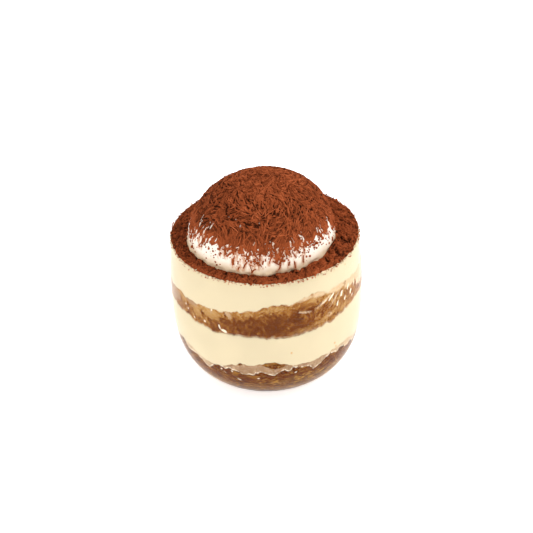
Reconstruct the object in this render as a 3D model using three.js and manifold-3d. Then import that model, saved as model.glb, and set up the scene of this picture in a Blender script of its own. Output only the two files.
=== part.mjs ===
// A tiramisu served in a round-bottomed glass: coffee-soaked sponge and mascarpone cream in four layers,
// a bed of cocoa level with the rim, and a dome of whipped cream under a crust of cocoa shreds.
// Millimetres, +Z up. The origin is the centre of the glass's foot, and -Y is the front.
import * as THREE from "three";
import { mergeVertices } from "three/addons/utils/BufferGeometryUtils.js";
import Module from "manifold-3d";

const wasm = await Module();
wasm.setup();

// ---- driving dimensions ----
const GLASS = {
  height: 66, // foot to rim
  bellyRadius: 41.1, // outside, at its widest
  bellyHeight: 40, // where it is widest
  rimTaper: 1.5, // how far the rim draws in from the belly
  bowlDepth: 42.4, // belly to the pole that the rounded bottom aims at
  wall: 1.8,
  floorDepth: 38, // belly to the pole that the inside of the bottom aims at
  floorHeight: 3.4, // top of the thick glass floor
  footRadius: 21.5, // outer edge of the ring that it rests on
  footRound: 0.9, // rounding from that ring into the bowl
  pushUpRadius: 16, // the hollow under the foot
  pushUpDepth: 0.7,
};
const BOWL_POWER = 3; // how square-shouldered the rounded bottom is: 2 is an ellipse
const GAP = 0.3; // clearance between neighbouring pieces
const LAYER = { spongeTop: 23.6, creamTop: 40, middleTop: 52.6, fillTop: 66 }; // heights at the glass
const AXIS_HEIGHTS = [23, 40.2, 53.2]; // where the same three edges lie on the glass's axis
const DOME = {
  x: -1.3,
  y: -4.4,
  radius: 31.3, // cream, at its widest
  height: 27.2, // above the fill
  power: 2, // roundness of its outline: 2 is an ellipse
  lean: 2.3, // how far its top leans to the right
  foot: 0.9, // how far the foot tucks in
  footHeight: 3.5,
};
const CRUST = { thickness: 0.8, edge: 76.6, relief: 0.28 }; // cocoa on the dome: edge is its hem's height
const BED = { thickness: 0.9, heap: 0.4, inset: 0.35, relief: 0.25 }; // cocoa on the fill, round the dome
const SHRED = { count: 56, length: 5.2, width: 1.15, thickness: 0.8, tip: 0.45, sway: 75 }; // sway: degrees
const CRUMB = { count: 24, size: 1.2, flatness: 0.62 };

const SIDES = 48; // facets round the glass
const LAYER_SIDES = 72; // facets round its layers
const TOP_SIDES = 54; // facets round the dome and the cocoa

const FINISH = {
  glass: { color: 0xf4f8f6, roughness: 0.04, metalness: 0, transparent: true, opacity: 0.28 },
  sponge: { color: 0x8a5a2c, roughness: 0.8, metalness: 0 },
  soaked: { color: 0x74461f, roughness: 0.75, metalness: 0 },
  mascarpone: { color: 0xf6e5bd, roughness: 0.5, metalness: 0 },
  whipped: { color: 0xf8ead2, roughness: 0.55, metalness: 0 },
  cocoa: { color: 0x8b4524, roughness: 1, metalness: 0 },
  darkCocoa: { color: 0x6f371c, roughness: 1, metalness: 0 },
};

// ---- small helpers ----
const TURN = Math.PI * 2;
const radians = (degrees) => (degrees * Math.PI) / 180;

// A rounded hill along the circle: 1 at centre, falling away over spread. Both are degrees.
function hill(angle, centre, spread) {
  const away = Math.atan2(Math.sin(angle - radians(centre)), Math.cos(angle - radians(centre)));
  return Math.exp(-((away / radians(spread)) ** 2));
}

// A repeatable random number from 0 to 1 for each whole number.
function draw(seed) {
  const s = Math.sin(seed * 127.1 + 311.7) * 43758.5453;
  return s - Math.floor(s);
}

// Soft lumps of about the given size, from -1 to 1.
function lumps(x, y, z, size) {
  const [u, v, w] = [x / size, y / size, z / size];
  const first = Math.sin(u * 2.9 + 1.3 * Math.sin(v * 2.1 + w));
  const second = Math.sin(v * 3.3 + 1.7 * Math.sin(w * 2.3 - u));
  const third = Math.sin(w * 3.1 + 1.1 * Math.sin(u * 1.9 + v * 1.4));
  return (first + second + third) / 3;
}

// A closed body of revolution whose profile has count points; place(k, angle) gives point k as [x, y, z].
// The first and last points lie on the axis, or the profile closes on itself.
function turned(count, sides, place, closesOnItself = false) {
  const onAxis = (k) => !closesOnItself && (k === 0 || k === count - 1);
  const unit = Array.from({ length: count + (closesOnItself ? 1 : 0) }, (_, k) =>
    new THREE.Vector2(onAxis(k) ? 0 : 1, k % count));
  const geometry = new THREE.LatheGeometry(unit, sides);
  const position = geometry.getAttribute("position");
  for (let i = 0; i <= sides; i += 1) {
    for (let k = 0; k < unit.length; k += 1) {
      const angle = ((i % sides) / sides) * TURN;
      position.setXYZ(i * unit.length + k, ...place(k % count, angle));
    }
  }
  return welded(geometry);
}

function welded(geometry) {
  geometry.deleteAttribute("normal");
  geometry.deleteAttribute("uv");
  const merged = mergeVertices(geometry, 1e-4);
  merged.computeVertexNormals();
  return merged;
}

// A point at a radius and bearing round the glass's axis, or round (cx, cy). Bearing 0 is the front.
const polar = (radius, angle, z, cx = 0, cy = 0) =>
  [cx + radius * Math.sin(angle), cy - radius * Math.cos(angle), z];

function mesh(name, geometry, finish) {
  const made = new THREE.Mesh(geometry, new THREE.MeshStandardMaterial(finish));
  made.name = name;
  return made;
}

function toSolid(geometry) {
  const bare = geometry.clone();
  bare.deleteAttribute("normal");
  bare.deleteAttribute("uv");
  const closed = mergeVertices(bare, 1e-4);
  return new wasm.Manifold(new wasm.Mesh({
    numProp: 3,
    vertProperties: new Float32Array(closed.getAttribute("position").array),
    triVerts: new Uint32Array(closed.index.array),
  }));
}

function fromSolid(solid) {
  const { vertProperties, triVerts } = solid.getMesh();
  const geometry = new THREE.BufferGeometry();
  geometry.setAttribute("position", new THREE.BufferAttribute(vertProperties, 3));
  geometry.setIndex(new THREE.BufferAttribute(triVerts, 1));
  geometry.computeVertexNormals();
  return geometry;
}

// The body with the small pieces joined to it.
function fused(body, pieces) {
  let solid = toSolid(body);
  for (const piece of pieces) solid = solid.add(toSolid(piece));
  return fromSolid(solid);
}

// ---- the glass ----
// Radius of a wall that is inset from the outside of the glass, at a height.
function wallRadius(z, inset = 0, depth = GLASS.bowlDepth) {
  const belly = GLASS.bellyRadius - inset;
  if (z >= GLASS.bellyHeight) {
    const rise = (z - GLASS.bellyHeight) / (GLASS.height - GLASS.bellyHeight);
    return belly - GLASS.rimTaper * rise ** 2;
  }
  const fall = Math.min((GLASS.bellyHeight - z) / depth, 1);
  return belly * (1 - fall ** BOWL_POWER) ** (1 / BOWL_POWER);
}
const innerRadius = (z) => wallRadius(z, GLASS.wall, GLASS.floorDepth);
const fillRadius = (z) => wallRadius(z, GLASS.wall + GAP, GLASS.floorDepth - GAP);

// Heights from low to high, closer together near the bottom where the wall turns.
const heights = (low, high, count) =>
  Array.from({ length: count }, (_, k) => low + (high - low) * (k / (count - 1)) ** 2);

function glassCup() {
  const rimRound = GLASS.wall / 2;
  const profile = [
    [0, GLASS.pushUpDepth],
    [GLASS.pushUpRadius * 0.7, GLASS.pushUpDepth * 0.8],
    [GLASS.pushUpRadius, 0],
    [GLASS.footRadius, 0],
  ];
  for (const z of heights(GLASS.footRound, GLASS.height - rimRound, 12)) profile.push([wallRadius(z), z]);
  const rimMiddle = wallRadius(GLASS.height) - rimRound;
  for (const share of [0.25, 0.5, 0.75]) {
    const turn = share * Math.PI;
    profile.push([rimMiddle + rimRound * Math.cos(turn), GLASS.height + rimRound * (Math.sin(turn) - 1)]);
  }
  const inside = heights(GLASS.floorHeight, GLASS.height - rimRound, 11).reverse();
  for (const z of inside) profile.push([innerRadius(z), z]);
  profile.push([0, GLASS.floorHeight]);
  return turned(profile.length, SIDES, (k, angle) => polar(profile[k][0], angle, profile[k][1]));
}

// ---- the layers ----
// Where the layers meet at the glass: each edge wanders, as the slices of sponge do.
const layerEdges = [
  (angle) => LAYER.spongeTop + 3.2 * hill(angle, 2, 11) + 1.6 * hill(angle, -17, 7) - 2.8 * hill(angle, -38, 12)
    + 2.5 * hill(angle, -64, 11) + 1.3 * hill(angle, 46, 12) - 1.6 * hill(angle, 150, 40),
  (angle) => LAYER.creamTop - 0.9 * hill(angle, 8, 16) + 3 * hill(angle, 68, 20)
    + 1.3 * hill(angle, -65, 18) + 1.4 * hill(angle, 190, 35) + 0.2 * Math.sin(angle * 7 + 1),
  (angle) => LAYER.middleTop + 3.2 * Math.sin(angle) + 2.4 * hill(angle, 16, 24) + hill(angle, 0, 6)
    + 1.2 * hill(angle, 30, 8) - 0.9 * hill(angle, 62, 12) + 1.2 * hill(angle, 200, 30),
];

// A layer that fills the glass between two surfaces. Each surface is a fan from the axis to the glass, so
// neighbours have the same facets and stay clear of each other.
function layer(below, above) {
  const sideSteps = 5;
  const last = sideSteps + 2;
  return turned(last + 1, LAYER_SIDES, (k, angle) => {
    if (k === 0) return [0, 0, below(angle, true)];
    if (k === last) return [0, 0, above(angle, true)];
    const low = below(angle, false);
    const z = low + ((above(angle, false) - low) * (k - 1)) / sideSteps;
    return polar(fillRadius(z), angle, z);
  });
}

// The surface where two layers meet, lifted a little: level at the axis, wandering at the glass.
const edgeSurface = (edge, lift) => (angle, atAxis) =>
  (atAxis ? AXIS_HEIGHTS[edge] : layerEdges[edge](angle)) + lift;
const floorSurface = () => GLASS.floorHeight + GAP;
const fillSurface = () => LAYER.fillTop;

function layers() {
  const names = ["sponge_bottom", "cream_lower", "sponge_middle", "cream_upper"];
  const finishes = [FINISH.soaked, FINISH.mascarpone, FINISH.sponge, FINISH.mascarpone];
  return names.map((name, i) => {
    const below = i === 0 ? floorSurface : edgeSurface(i - 1, GAP / 2);
    const above = i === names.length - 1 ? fillSurface : edgeSurface(i, -GAP / 2);
    return mesh(name, layer(below, above), finishes[i]);
  });
}

// ---- the dome ----
// Radius of the dome at a height above the fill, grown by offset on all sides.
function domeRadius(rise, offset = 0) {
  const full = DOME.radius + offset;
  const tall = DOME.height + offset;
  const tuck = rise < DOME.footHeight ? DOME.foot * (1 - rise / DOME.footHeight) ** 2 : 0;
  return full * Math.max(0, 1 - (rise / tall) ** DOME.power) ** (1 / DOME.power) - tuck;
}

// The middle of the dome leans to the right as it rises.
const domeMiddle = (rise) => DOME.x + DOME.lean * (rise / DOME.height) ** 2;

// A point of the dome at a share of the quarter turn from its foot (0) to its top (1).
function domePoint(quarter, angle, offset, lowest = 0) {
  const tall = DOME.height + offset;
  const turn = Math.sin((quarter * Math.PI) / 2) ** (2 / DOME.power);
  const rise = lowest + (tall - lowest) * turn;
  return polar(domeRadius(rise, offset), angle, LAYER.fillTop + GAP + rise, domeMiddle(rise), DOME.y);
}

function creamDome() {
  const rings = 10;
  return turned(rings + 2, TOP_SIDES, (k, angle) => {
    if (k === 0) return polar(0, angle, LAYER.fillTop + GAP, DOME.x, DOME.y);
    return domePoint((k - 1) / rings, angle, 0);
  });
}

// Height of the crust's hem above the fill: it hangs in tongues.
const hem = (angle) => CRUST.edge - LAYER.fillTop - 1.6 * hill(angle, 0, 14) + 1.9 * hill(angle, -52, 22)
  + 0.7 * Math.sin(angle * 7) + 0.5 * Math.sin(angle * 13 + 1);

// The crust: a shell over the top of the dome, lumpy outside and clear of the cream inside.
function crustShell() {
  const innerRings = 9;
  const outerRings = 12;
  return turned(innerRings + outerRings + 2, TOP_SIDES, (k, angle) => {
    const inner = k <= innerRings;
    const quarter = inner ? 1 - k / innerRings : (k - innerRings - 1) / outerRings;
    const point = domePoint(quarter, angle, inner ? GAP : GAP + CRUST.thickness, hem(angle));
    if (inner || quarter === 0) return point;
    const swell = 1 + (CRUST.relief * (lumps(...point, 5) + 0.6 * lumps(...point, 2.6))) / DOME.radius;
    return [
      DOME.x + (point[0] - DOME.x) * swell,
      DOME.y + (point[1] - DOME.y) * swell,
      LAYER.fillTop + (point[2] - LAYER.fillTop) * swell,
    ];
  });
}

// One shred of cocoa lying on the crust: a flat bar that tapers to its upper end and points more or less up
// the dome. Each next shred is lower and a golden angle further round, which spreads them evenly.
function shred(k) {
  const golden = Math.PI * (3 - Math.sqrt(5));
  const angle = k * golden;
  const offset = GAP + CRUST.thickness;
  const lowest = hem(angle) + SHRED.length * 0.36;
  const highest = DOME.height + offset - 0.25;
  const rise = highest - (highest - lowest) * (k / SHRED.count);
  const length = SHRED.length * (0.7 + 0.5 * draw(k));
  const bar = new THREE.BoxGeometry(length, SHRED.width * (0.8 + 0.5 * draw(k + 500)), SHRED.thickness);
  const position = bar.getAttribute("position");
  for (let i = 0; i < position.count; i += 1) {
    if (position.getX(i) > 0) position.setY(i, position.getY(i) * SHRED.tip);
  }
  const step = 0.05;
  const radius = domeRadius(rise, offset);
  const slope = (domeRadius(rise - step, offset) - radius) / step;
  const out = new THREE.Vector3(Math.sin(angle), -Math.cos(angle), slope).normalize();
  const sway = radians(SHRED.sway) * (2 * draw(k + 900) - 1);
  const along = new THREE.Vector3(Math.cos(angle), Math.sin(angle), 0).applyAxisAngle(out, TURN / 4 + sway);
  const across = new THREE.Vector3().crossVectors(out, along);
  const place = new THREE.Matrix4().makeBasis(along, across, out)
    .setPosition(...polar(radius, angle, LAYER.fillTop + GAP + rise, domeMiddle(rise), DOME.y));
  return bar.applyMatrix4(place);
}

const cocoaCrust = () => fused(crustShell(), Array.from({ length: SHRED.count }, (_, k) => shred(k + 1)));

// ---- the cocoa bed ----
// Distance from the glass's axis to the foot of the dome, grown by a clearance, along a bearing.
function domeFootAt(angle, clearance) {
  const reach = DOME.radius + clearance;
  const toward = DOME.x * Math.sin(angle) - DOME.y * Math.cos(angle);
  return toward + Math.sqrt(reach ** 2 - DOME.x ** 2 - DOME.y ** 2 + toward ** 2);
}

// How high the bed is heaped, from 0 to 1: most at the back and on the right. Its outer edge is ragged.
const bedHeap = (angle) => 0.25 + 0.75 * hill(angle, 115, 60) + 0.5 * hill(angle, -140, 45);
const bedRagged = (angle) => 0.15 * Math.sin(angle * 11) + 0.11 * Math.sin(angle * 23 + 2);

// The ring's outline, from the foot of the dome round to it again. Each row is [share of the way from the
// dome to the rim, share of the thickness, share of the heap].
const BED_PROFILE = [
  [0, 0, 0],
  [1, 0, 0],
  [1, 0.35, 0],
  [0.9, 0.75, 0.2],
  [0.66, 0.95, 0.9],
  [0.36, 1, 1],
  [0, 0.95, 0.5],
];

function cocoaBedRing() {
  return turned(BED_PROFILE.length, TOP_SIDES, (k, angle) => {
    const [outward, thick, heap] = BED_PROFILE[k];
    const near = domeFootAt(angle, GAP);
    const far = wallRadius(GLASS.height) - BED.inset + (outward === 1 ? bedRagged(angle) : 0);
    const [x, y] = polar(near + (far - near) * outward, angle, 0);
    const rough = k > 2 ? BED.relief * lumps(x, y, 0, 3.2) : 0;
    return [x, y, LAYER.fillTop + GAP + BED.thickness * thick + BED.heap * bedHeap(angle) * heap + rough];
  }, true);
}

// A crumb of cocoa half sunk in the bed.
function crumb(k) {
  const angle = (k / CRUMB.count) * TURN + 0.2 * (draw(k + 40) - 0.5);
  const size = CRUMB.size * (0.6 + 0.6 * draw(k + 80));
  const near = domeFootAt(angle, GAP) + size;
  const far = wallRadius(GLASS.height) - BED.inset - size;
  const share = 0.35 + 0.5 * draw(k + 120);
  const [x, y] = polar(near + (far - near) * share, angle, 0);
  const height = LAYER.fillTop + GAP + BED.thickness * 0.85 + BED.heap * bedHeap(angle) * 0.75;
  const lump = new THREE.IcosahedronGeometry(size, 0);
  return lump.scale(1, 0.8, CRUMB.flatness).rotateZ(draw(k) * TURN).translate(x, y, height);
}

const cocoaBed = () => fused(cocoaBedRing(), Array.from({ length: CRUMB.count }, (_, k) => crumb(k)));

// ---- assembly ----
const tiramisu = new THREE.Group();
tiramisu.name = "tiramisu";
tiramisu.add(mesh("glass_cup", glassCup(), FINISH.glass));
tiramisu.add(...layers());
tiramisu.add(mesh("cocoa_bed", cocoaBed(), FINISH.darkCocoa));
tiramisu.add(mesh("cream_dome", creamDome(), FINISH.whipped));
tiramisu.add(mesh("cocoa_crust", cocoaCrust(), FINISH.cocoa));

export default tiramisu;
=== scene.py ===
"""A tiramisu in its stemless glass: the looks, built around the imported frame.

Laid out as an add-on and run as a script. Sizes are in metres, bearings in degrees: 0 is the front, -Y, and
they grow towards +X. Every piece sits at the origin with its place in its mesh.
"""
import itertools
import math

import bmesh
import bpy
import numpy as np
from bpy.props import FloatProperty, FloatVectorProperty, IntProperty, PointerProperty
from mathutils import Matrix, Vector
from mathutils.kdtree import KDTree


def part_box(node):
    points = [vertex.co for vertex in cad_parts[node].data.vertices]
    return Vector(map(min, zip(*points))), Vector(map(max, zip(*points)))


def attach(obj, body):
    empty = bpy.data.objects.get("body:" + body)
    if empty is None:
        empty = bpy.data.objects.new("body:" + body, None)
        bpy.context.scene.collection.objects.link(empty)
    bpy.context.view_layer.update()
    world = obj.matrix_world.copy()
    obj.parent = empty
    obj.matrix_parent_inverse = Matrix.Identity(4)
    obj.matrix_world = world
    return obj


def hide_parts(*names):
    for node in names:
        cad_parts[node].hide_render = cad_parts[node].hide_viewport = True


bl_info = {
    "name": "Tiramisu in a glass",
    "version": (1, 0, 0),
    "blender": (4, 5, 0),
    "location": "View3D > Sidebar > Tiramisu",
    "description": "Layered coffee and mascarpone dessert with a cocoa-crusted cream dome, in a clear glass",
    "category": "Add Mesh",
}

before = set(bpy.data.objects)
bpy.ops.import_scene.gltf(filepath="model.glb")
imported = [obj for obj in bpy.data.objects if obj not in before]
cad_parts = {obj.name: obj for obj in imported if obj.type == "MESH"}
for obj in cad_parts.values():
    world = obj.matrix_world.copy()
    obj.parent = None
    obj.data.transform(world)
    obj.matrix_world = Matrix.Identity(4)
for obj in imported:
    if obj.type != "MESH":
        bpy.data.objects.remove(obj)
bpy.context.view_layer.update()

MM = 0.001
GLASS_LOW, GLASS_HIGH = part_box("glass_cup")
DOME_LOW, DOME_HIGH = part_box("cream_dome")
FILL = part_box("cream_upper")[1].z  # top of the upper cream, level with the rim
DOME_CENTRE = (DOME_LOW + DOME_HIGH) / 2
BOWL_POWER = 3  # how square-shouldered the rounded bottom of the glass is
FOOT_EDGE = 0.55 * MM  # height where the outer wall begins, above the rounded edge of the foot
BIT_TAPER = 0.82  # how much a loose shred draws in at its ends
BIT_FLATNESS = 0.62  # a loose shred's thickness, as a share of its width
HEM_RADIUS = 31 * MM  # where the noise that clumps strands along the hem is read


def display(red, green, blue):
    """A colour given as 0 to 255 on a display, as the linear numbers that shaders take."""
    shares = [channel / 255 for channel in (red, green, blue)]
    return tuple(s / 12.92 if s <= 0.04045 else ((s + 0.055) / 1.055) ** 2.4 for s in shares)


# ---------------------------------------------------------------- settings


def length(name, description, default):
    return FloatProperty(name=name, description=description, default=default, unit="LENGTH", precision=5)


def colour(name, description, default):
    return FloatVectorProperty(
        name=name, description=description, default=default, subtype="COLOR", size=3, min=0, max=1
    )


def angle(name, description, degrees):
    return FloatProperty(
        name=name, description=description, default=math.radians(degrees), subtype="ANGLE"
    )


def many(name, description, default):
    return IntProperty(name=name, description=description, default=default, min=0)


class GlassSettings(bpy.types.PropertyGroup):
    """Sizes and finish of the glass."""

    belly_height: length("Belly height", "Height where the glass is widest", 40 * MM)
    rim_taper: length("Rim taper", "How far the rim draws in from the belly", 1.5 * MM)
    bowl_depth: length("Bowl depth", "Belly to the pole that the outside of the bottom aims at", 42.4 * MM)
    floor_depth: length("Floor depth", "Belly to the pole that the inside of the bottom aims at", 38 * MM)
    floor_height: length("Floor height", "Top of the thick floor", 3.4 * MM)
    wall: length("Wall", "Thickness of the wall", 1.8 * MM)
    foot_radius: length("Foot radius", "Outer edge of the ring that it rests on", 21.5 * MM)
    push_up_radius: length("Push-up radius", "Edge of the hollow under the foot", 16 * MM)
    push_up_depth: length("Push-up depth", "Height of the hollow under the foot", 0.7 * MM)
    reach: length("Reach", "How far the food reaches into the wall, so that no air shows", 0.7 * MM)
    tint: colour("Tint", "Colour of the glass", (0.985, 0.995, 0.99))
    bending: FloatProperty(
        name="Bending", description="How strongly the glass bends light", default=1.14, min=1
    )
    sides: many("Sides", "Steps round the glass", 192)


class LayerSettings(bpy.types.PropertyGroup):
    """The four layers and their colours."""

    sides: many("Sides", "Steps round each layer", 720)
    crumbs: many("Crumbs", "Strands of crumb on the side of each sponge", 5200)
    cream: colour("Mascarpone", "Cream pressed against the glass", display(227, 210, 175))
    speck: colour("Speck", "Tiny specks in the cream", display(214, 150, 66))
    # The dark crumb colour is partly painted shade in the pores, partly soaked crumb.
    sponge_dark: colour("Sponge, dark", "Pores and soaked crumb", display(92, 46, 16))
    sponge_middle: colour("Sponge, middle", "Soaked crumb", display(118, 62, 22))
    sponge_light: colour("Sponge, light", "Drier crumb", display(164, 108, 50))
    sponge_gold: colour("Sponge, golden", "Crust and dry crumb", display(194, 150, 92))
    sponge_grey: colour("Sponge, dull", "Crumb dulled by coffee", display(136, 104, 76))
    soaked: colour("Soaked sponge", "Crumb of the bottom sponge, soaked through", display(104, 46, 0))
    soaked_base: colour("Soaked sponge, base", "Crumb in the curve of the glass", display(162, 132, 74))
    soaked_streak: colour("Soaked sponge, streaks", "Light streaks in it", display(190, 138, 60))
    soaked_crack: colour("Soaked sponge, cracks", "Dark cracks in it", display(62, 26, 0))
    smear: colour("Film", "Thin film of cream over the sponge", display(230, 202, 164))
    dull_smear: colour("Film, dull", "Film of cream that has soaked up coffee", display(176, 140, 108))
    thick_smear: colour("Fleck", "Thick flecks of cream on the sponge", display(252, 238, 214))


class DomeSettings(bpy.types.PropertyGroup):
    """The dome of whipped cream."""

    lean: length("Lean", "How far its top leans to the right", 2.3 * MM)
    foot: length("Foot", "How far the foot tucks in", 0.9 * MM)
    foot_height: length("Foot height", "Height over which the foot tucks in", 3.5 * MM)
    cream: colour("Whipped cream", "The bare band of cream", display(240, 230, 216))
    foot_cream: colour("Foot of the cream", "Cream in the shade of the bed", display(210, 184, 150))
    stain: colour("Stain", "Cream stained by cocoa", display(182, 116, 72))


class CocoaSettings(bpy.types.PropertyGroup):
    """The crust on the dome and the bed round it."""

    thickness: length("Crust", "Thickness of the matted cocoa on the dome", 0.8 * MM)
    hem: length("Hem", "Height of the crust's lower edge", 76.8 * MM)
    fibres: many("Fibres", "Fibres matted into the crust", 5200)
    pits: many("Pits", "Small round holes in the crust", 300)
    gaps: many("Gaps", "Dark gaps between the fibres of the crust", 700)
    slits: many("Slits", "Slits near the hem where cream shows, before they are clumped", 230)
    hem_strands: many("Strands", "Strands below the hem, before they are clumped", 900)
    shreds: many("Shreds", "Loose shreds on the crust", 2000)
    specks: many("Specks", "Specks of cocoa on the bare cream", 750)
    bed_thickness: length("Bed", "Thickness of the cocoa in the glass", 0.9 * MM)
    bed_heap: length("Heap", "How much higher the bed is heaped on the right", 0.4 * MM)
    bed_flakes: many("Bed flakes", "Folded flakes on the bed, before they are kept to the right", 620)
    bed_fibres: many("Bed fibres", "Fibres on the bed", 7000)
    bed_pits: many("Bed pits", "Slits and pits in the bed", 240)
    shavings: many("Shavings", "Loose shavings on the bed, before they are thinned out", 1500)
    grains: many("Grains", "Loose grains on the bed", 3600)
    # The light colour is painted light and the dark one painted shade, at the ends of the tone.
    light: colour("Cocoa, light", "Faces that catch the light", display(176, 92, 54))
    middle: colour("Cocoa, middle", "Most of the cocoa", display(140, 68, 36))
    dark: colour("Cocoa, dark", "Pits and crevices", display(58, 24, 10))


class StageSettings(bpy.types.PropertyGroup):
    """The camera, the floor and the lights."""

    distance: length("Distance", "Camera to the point it looks at", 560 * MM)
    elevation: angle("Elevation", "Camera's height as an angle", 33.5)
    roll: angle("Roll", "Turn about the line of sight", -2.2)
    aim_across: length("Aim across", "How far right of the glass's axis the camera looks", 0.25 * MM)
    aim_height: length("Aim height", "Height that the camera looks at", 48.1 * MM)
    lens: FloatProperty(name="Lens", description="Focal length in millimetres", default=88.64)
    floor: colour("Floor", "The floor's colour", (0.97, 0.97, 0.97))
    floor_glow: FloatProperty(
        name="Floor glow", description="Light that comes up through the floor", default=0.6
    )


# ---------------------------------------------------------------- meshes


def add(name, primitive, **sizes):
    """Adds a primitive with nothing else selected, and names it."""
    bpy.ops.object.select_all(action="DESELECT")
    primitive(**sizes)
    piece = bpy.context.object
    piece.name = name
    piece.data.name = name
    return piece


def edit(mode_on):
    bpy.ops.object.mode_set(mode="EDIT" if mode_on else "OBJECT")


def points(piece):
    """The piece's vertices, one row each."""
    rows = np.empty(len(piece.data.vertices) * 3)
    piece.data.vertices.foreach_get("co", rows)
    return rows.reshape(-1, 3)


def move(piece, rows):
    """Moves every vertex of the piece."""
    piece.data.vertices.foreach_set("co", np.ascontiguousarray(rows, float).ravel())
    piece.data.update()


def mark(piece, name, values):
    """Stores one number for each vertex, for the materials to read."""
    attribute = piece.data.attributes.new(name, "FLOAT", "POINT")
    attribute.data.foreach_set("value", np.ascontiguousarray(values, np.float32))


def select_upright(piece):
    """Selects the edges that run from the bottom of a cylinder of height 1 to its top, in edit mode."""
    edit(True)
    bpy.ops.mesh.select_all(action="DESELECT")
    for edge in bmesh.from_edit_mesh(piece.data).edges:
        low, high = (corner.co for corner in edge.verts)
        edge.select = abs(low.z - high.z) > 0.5


def cut_level(height):
    """Cuts away what is below a height in the piece just added, and closes the cut."""
    edit(True)
    bpy.ops.mesh.select_all(action="SELECT")
    bpy.ops.mesh.bisect(plane_co=(0, 0, height), plane_no=(0, 0, 1), clear_inner=True, use_fill=True)
    edit(False)


def close_up():
    """Joins doubled vertices of the piece just added, and turns its faces outwards."""
    edit(True)
    bpy.ops.mesh.select_all(action="SELECT")
    bpy.ops.mesh.remove_doubles(threshold=0.005 * MM)
    bpy.ops.mesh.normals_make_consistent(inside=False)
    edit(False)


def finish_piece(piece, paint, slot, *nodes):
    """Smooth shading, material, and what the piece stands for and rides on."""
    bpy.ops.object.select_all(action="DESELECT")
    piece.select_set(True)
    bpy.context.view_layer.objects.active = piece
    bpy.ops.object.shade_smooth()
    piece.data.materials.clear()
    piece.data.materials.append(paint)
    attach(piece, "root")
    if nodes:
        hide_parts(*nodes)


def joined_copies(name, model, places):
    """One mesh of many copies of a small model. places has a row of vertices for every copy."""
    count, size = places.shape[:2]
    faces = [tuple(face.vertices) for face in model.data.polygons]
    starts = range(0, count * size, size)
    mesh = bpy.data.meshes.new(name)
    mesh.from_pydata(
        places.reshape(-1, 3), [], [tuple(start + v for v in face) for start in starts for face in faces]
    )
    mesh.update()
    piece = bpy.data.objects.new(name, mesh)
    bpy.context.collection.objects.link(piece)
    bpy.data.objects.remove(model)
    return piece


def bearing_of(rows):
    """Bearing of each point round the glass's axis, in degrees."""
    return np.degrees(np.arctan2(rows[:, 0], -rows[:, 1]))


def polar(radius, bearing, height, centre=(0, 0)):
    """Points at a radius and bearing round a centre."""
    turn = np.radians(bearing)
    across = centre[0] + radius * np.sin(turn)
    along = centre[1] - radius * np.cos(turn)
    return np.stack([across, along, height + 0 * across], axis=-1)


def hill(bearing, centre, spread):
    """A rounded hill round the circle: 1 at its centre, falling away over its spread."""
    away = (bearing - centre + 180) % 360 - 180
    return np.exp(-((away / spread) ** 2))


def smooth(values, low, high):
    """0 below low, 1 above high, and smooth between them."""
    share = np.clip((values - low) / (high - low), 0, 1)
    return share * share * (3 - 2 * share)


def noise(rows, size, seed=0):
    """Smooth noise from -1 to 1 at each point, with lumps of about that size."""
    cells = rows / size + 31.7 * (seed + 1)
    low = np.floor(cells).astype(np.int64)
    part = cells - low
    part = part * part * (3 - 2 * part)
    total = np.zeros(len(rows))
    for corner in itertools.product((0, 1), repeat=3):
        mixed = (low + corner) @ np.array([73856093, 19349663, 83492791])
        mixed = ((mixed ^ (mixed >> 13)) * 1274126177) & 0x7FFFFFFF
        mixed = ((mixed ^ (mixed >> 15)) * 668265263) & 0x7FFFFFFF
        weight = np.prod(np.where(corner, part, 1 - part), axis=1)
        total += weight * (mixed / 0x3FFFFFFF - 1)
    return total


def rough(rows, size, seed=0):
    """Noise of that size with finer noise on it."""
    coarse = noise(rows, size, seed)
    return coarse + 0.5 * noise(rows, size / 2, seed + 1) + 0.25 * noise(rows, size / 4, seed + 2)


# ---------------------------------------------------------------- materials


class Number:
    """A number from a socket. Python's arithmetic on it adds Math nodes to the same material."""

    def __init__(self, paint, socket):
        self.paint = paint
        self.socket = socket

    def __add__(self, other):
        return self.paint.math("ADD", self, other)

    def __sub__(self, other):
        return self.paint.math("SUBTRACT", self, other)

    def __rsub__(self, other):
        return self.paint.math("SUBTRACT", other, self)

    def __mul__(self, other):
        return self.paint.math("MULTIPLY", self, other)

    __radd__ = __add__
    __rmul__ = __mul__

    def between(self, low, high):
        """0 below low, 1 above high, and smooth between them. low may be the higher one."""
        made = self.paint.node(
            "ShaderNodeMapRange",
            {"interpolation_type": "SMOOTHSTEP"},
            {"Value": self, "From Min": low, "From Max": high},
        )
        return Number(self.paint, made.outputs["Result"])

    def within(self):
        """The number kept from 0 to 1."""
        return self.paint.math("MAXIMUM", self.paint.math("MINIMUM", self, 1), 0)


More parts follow.
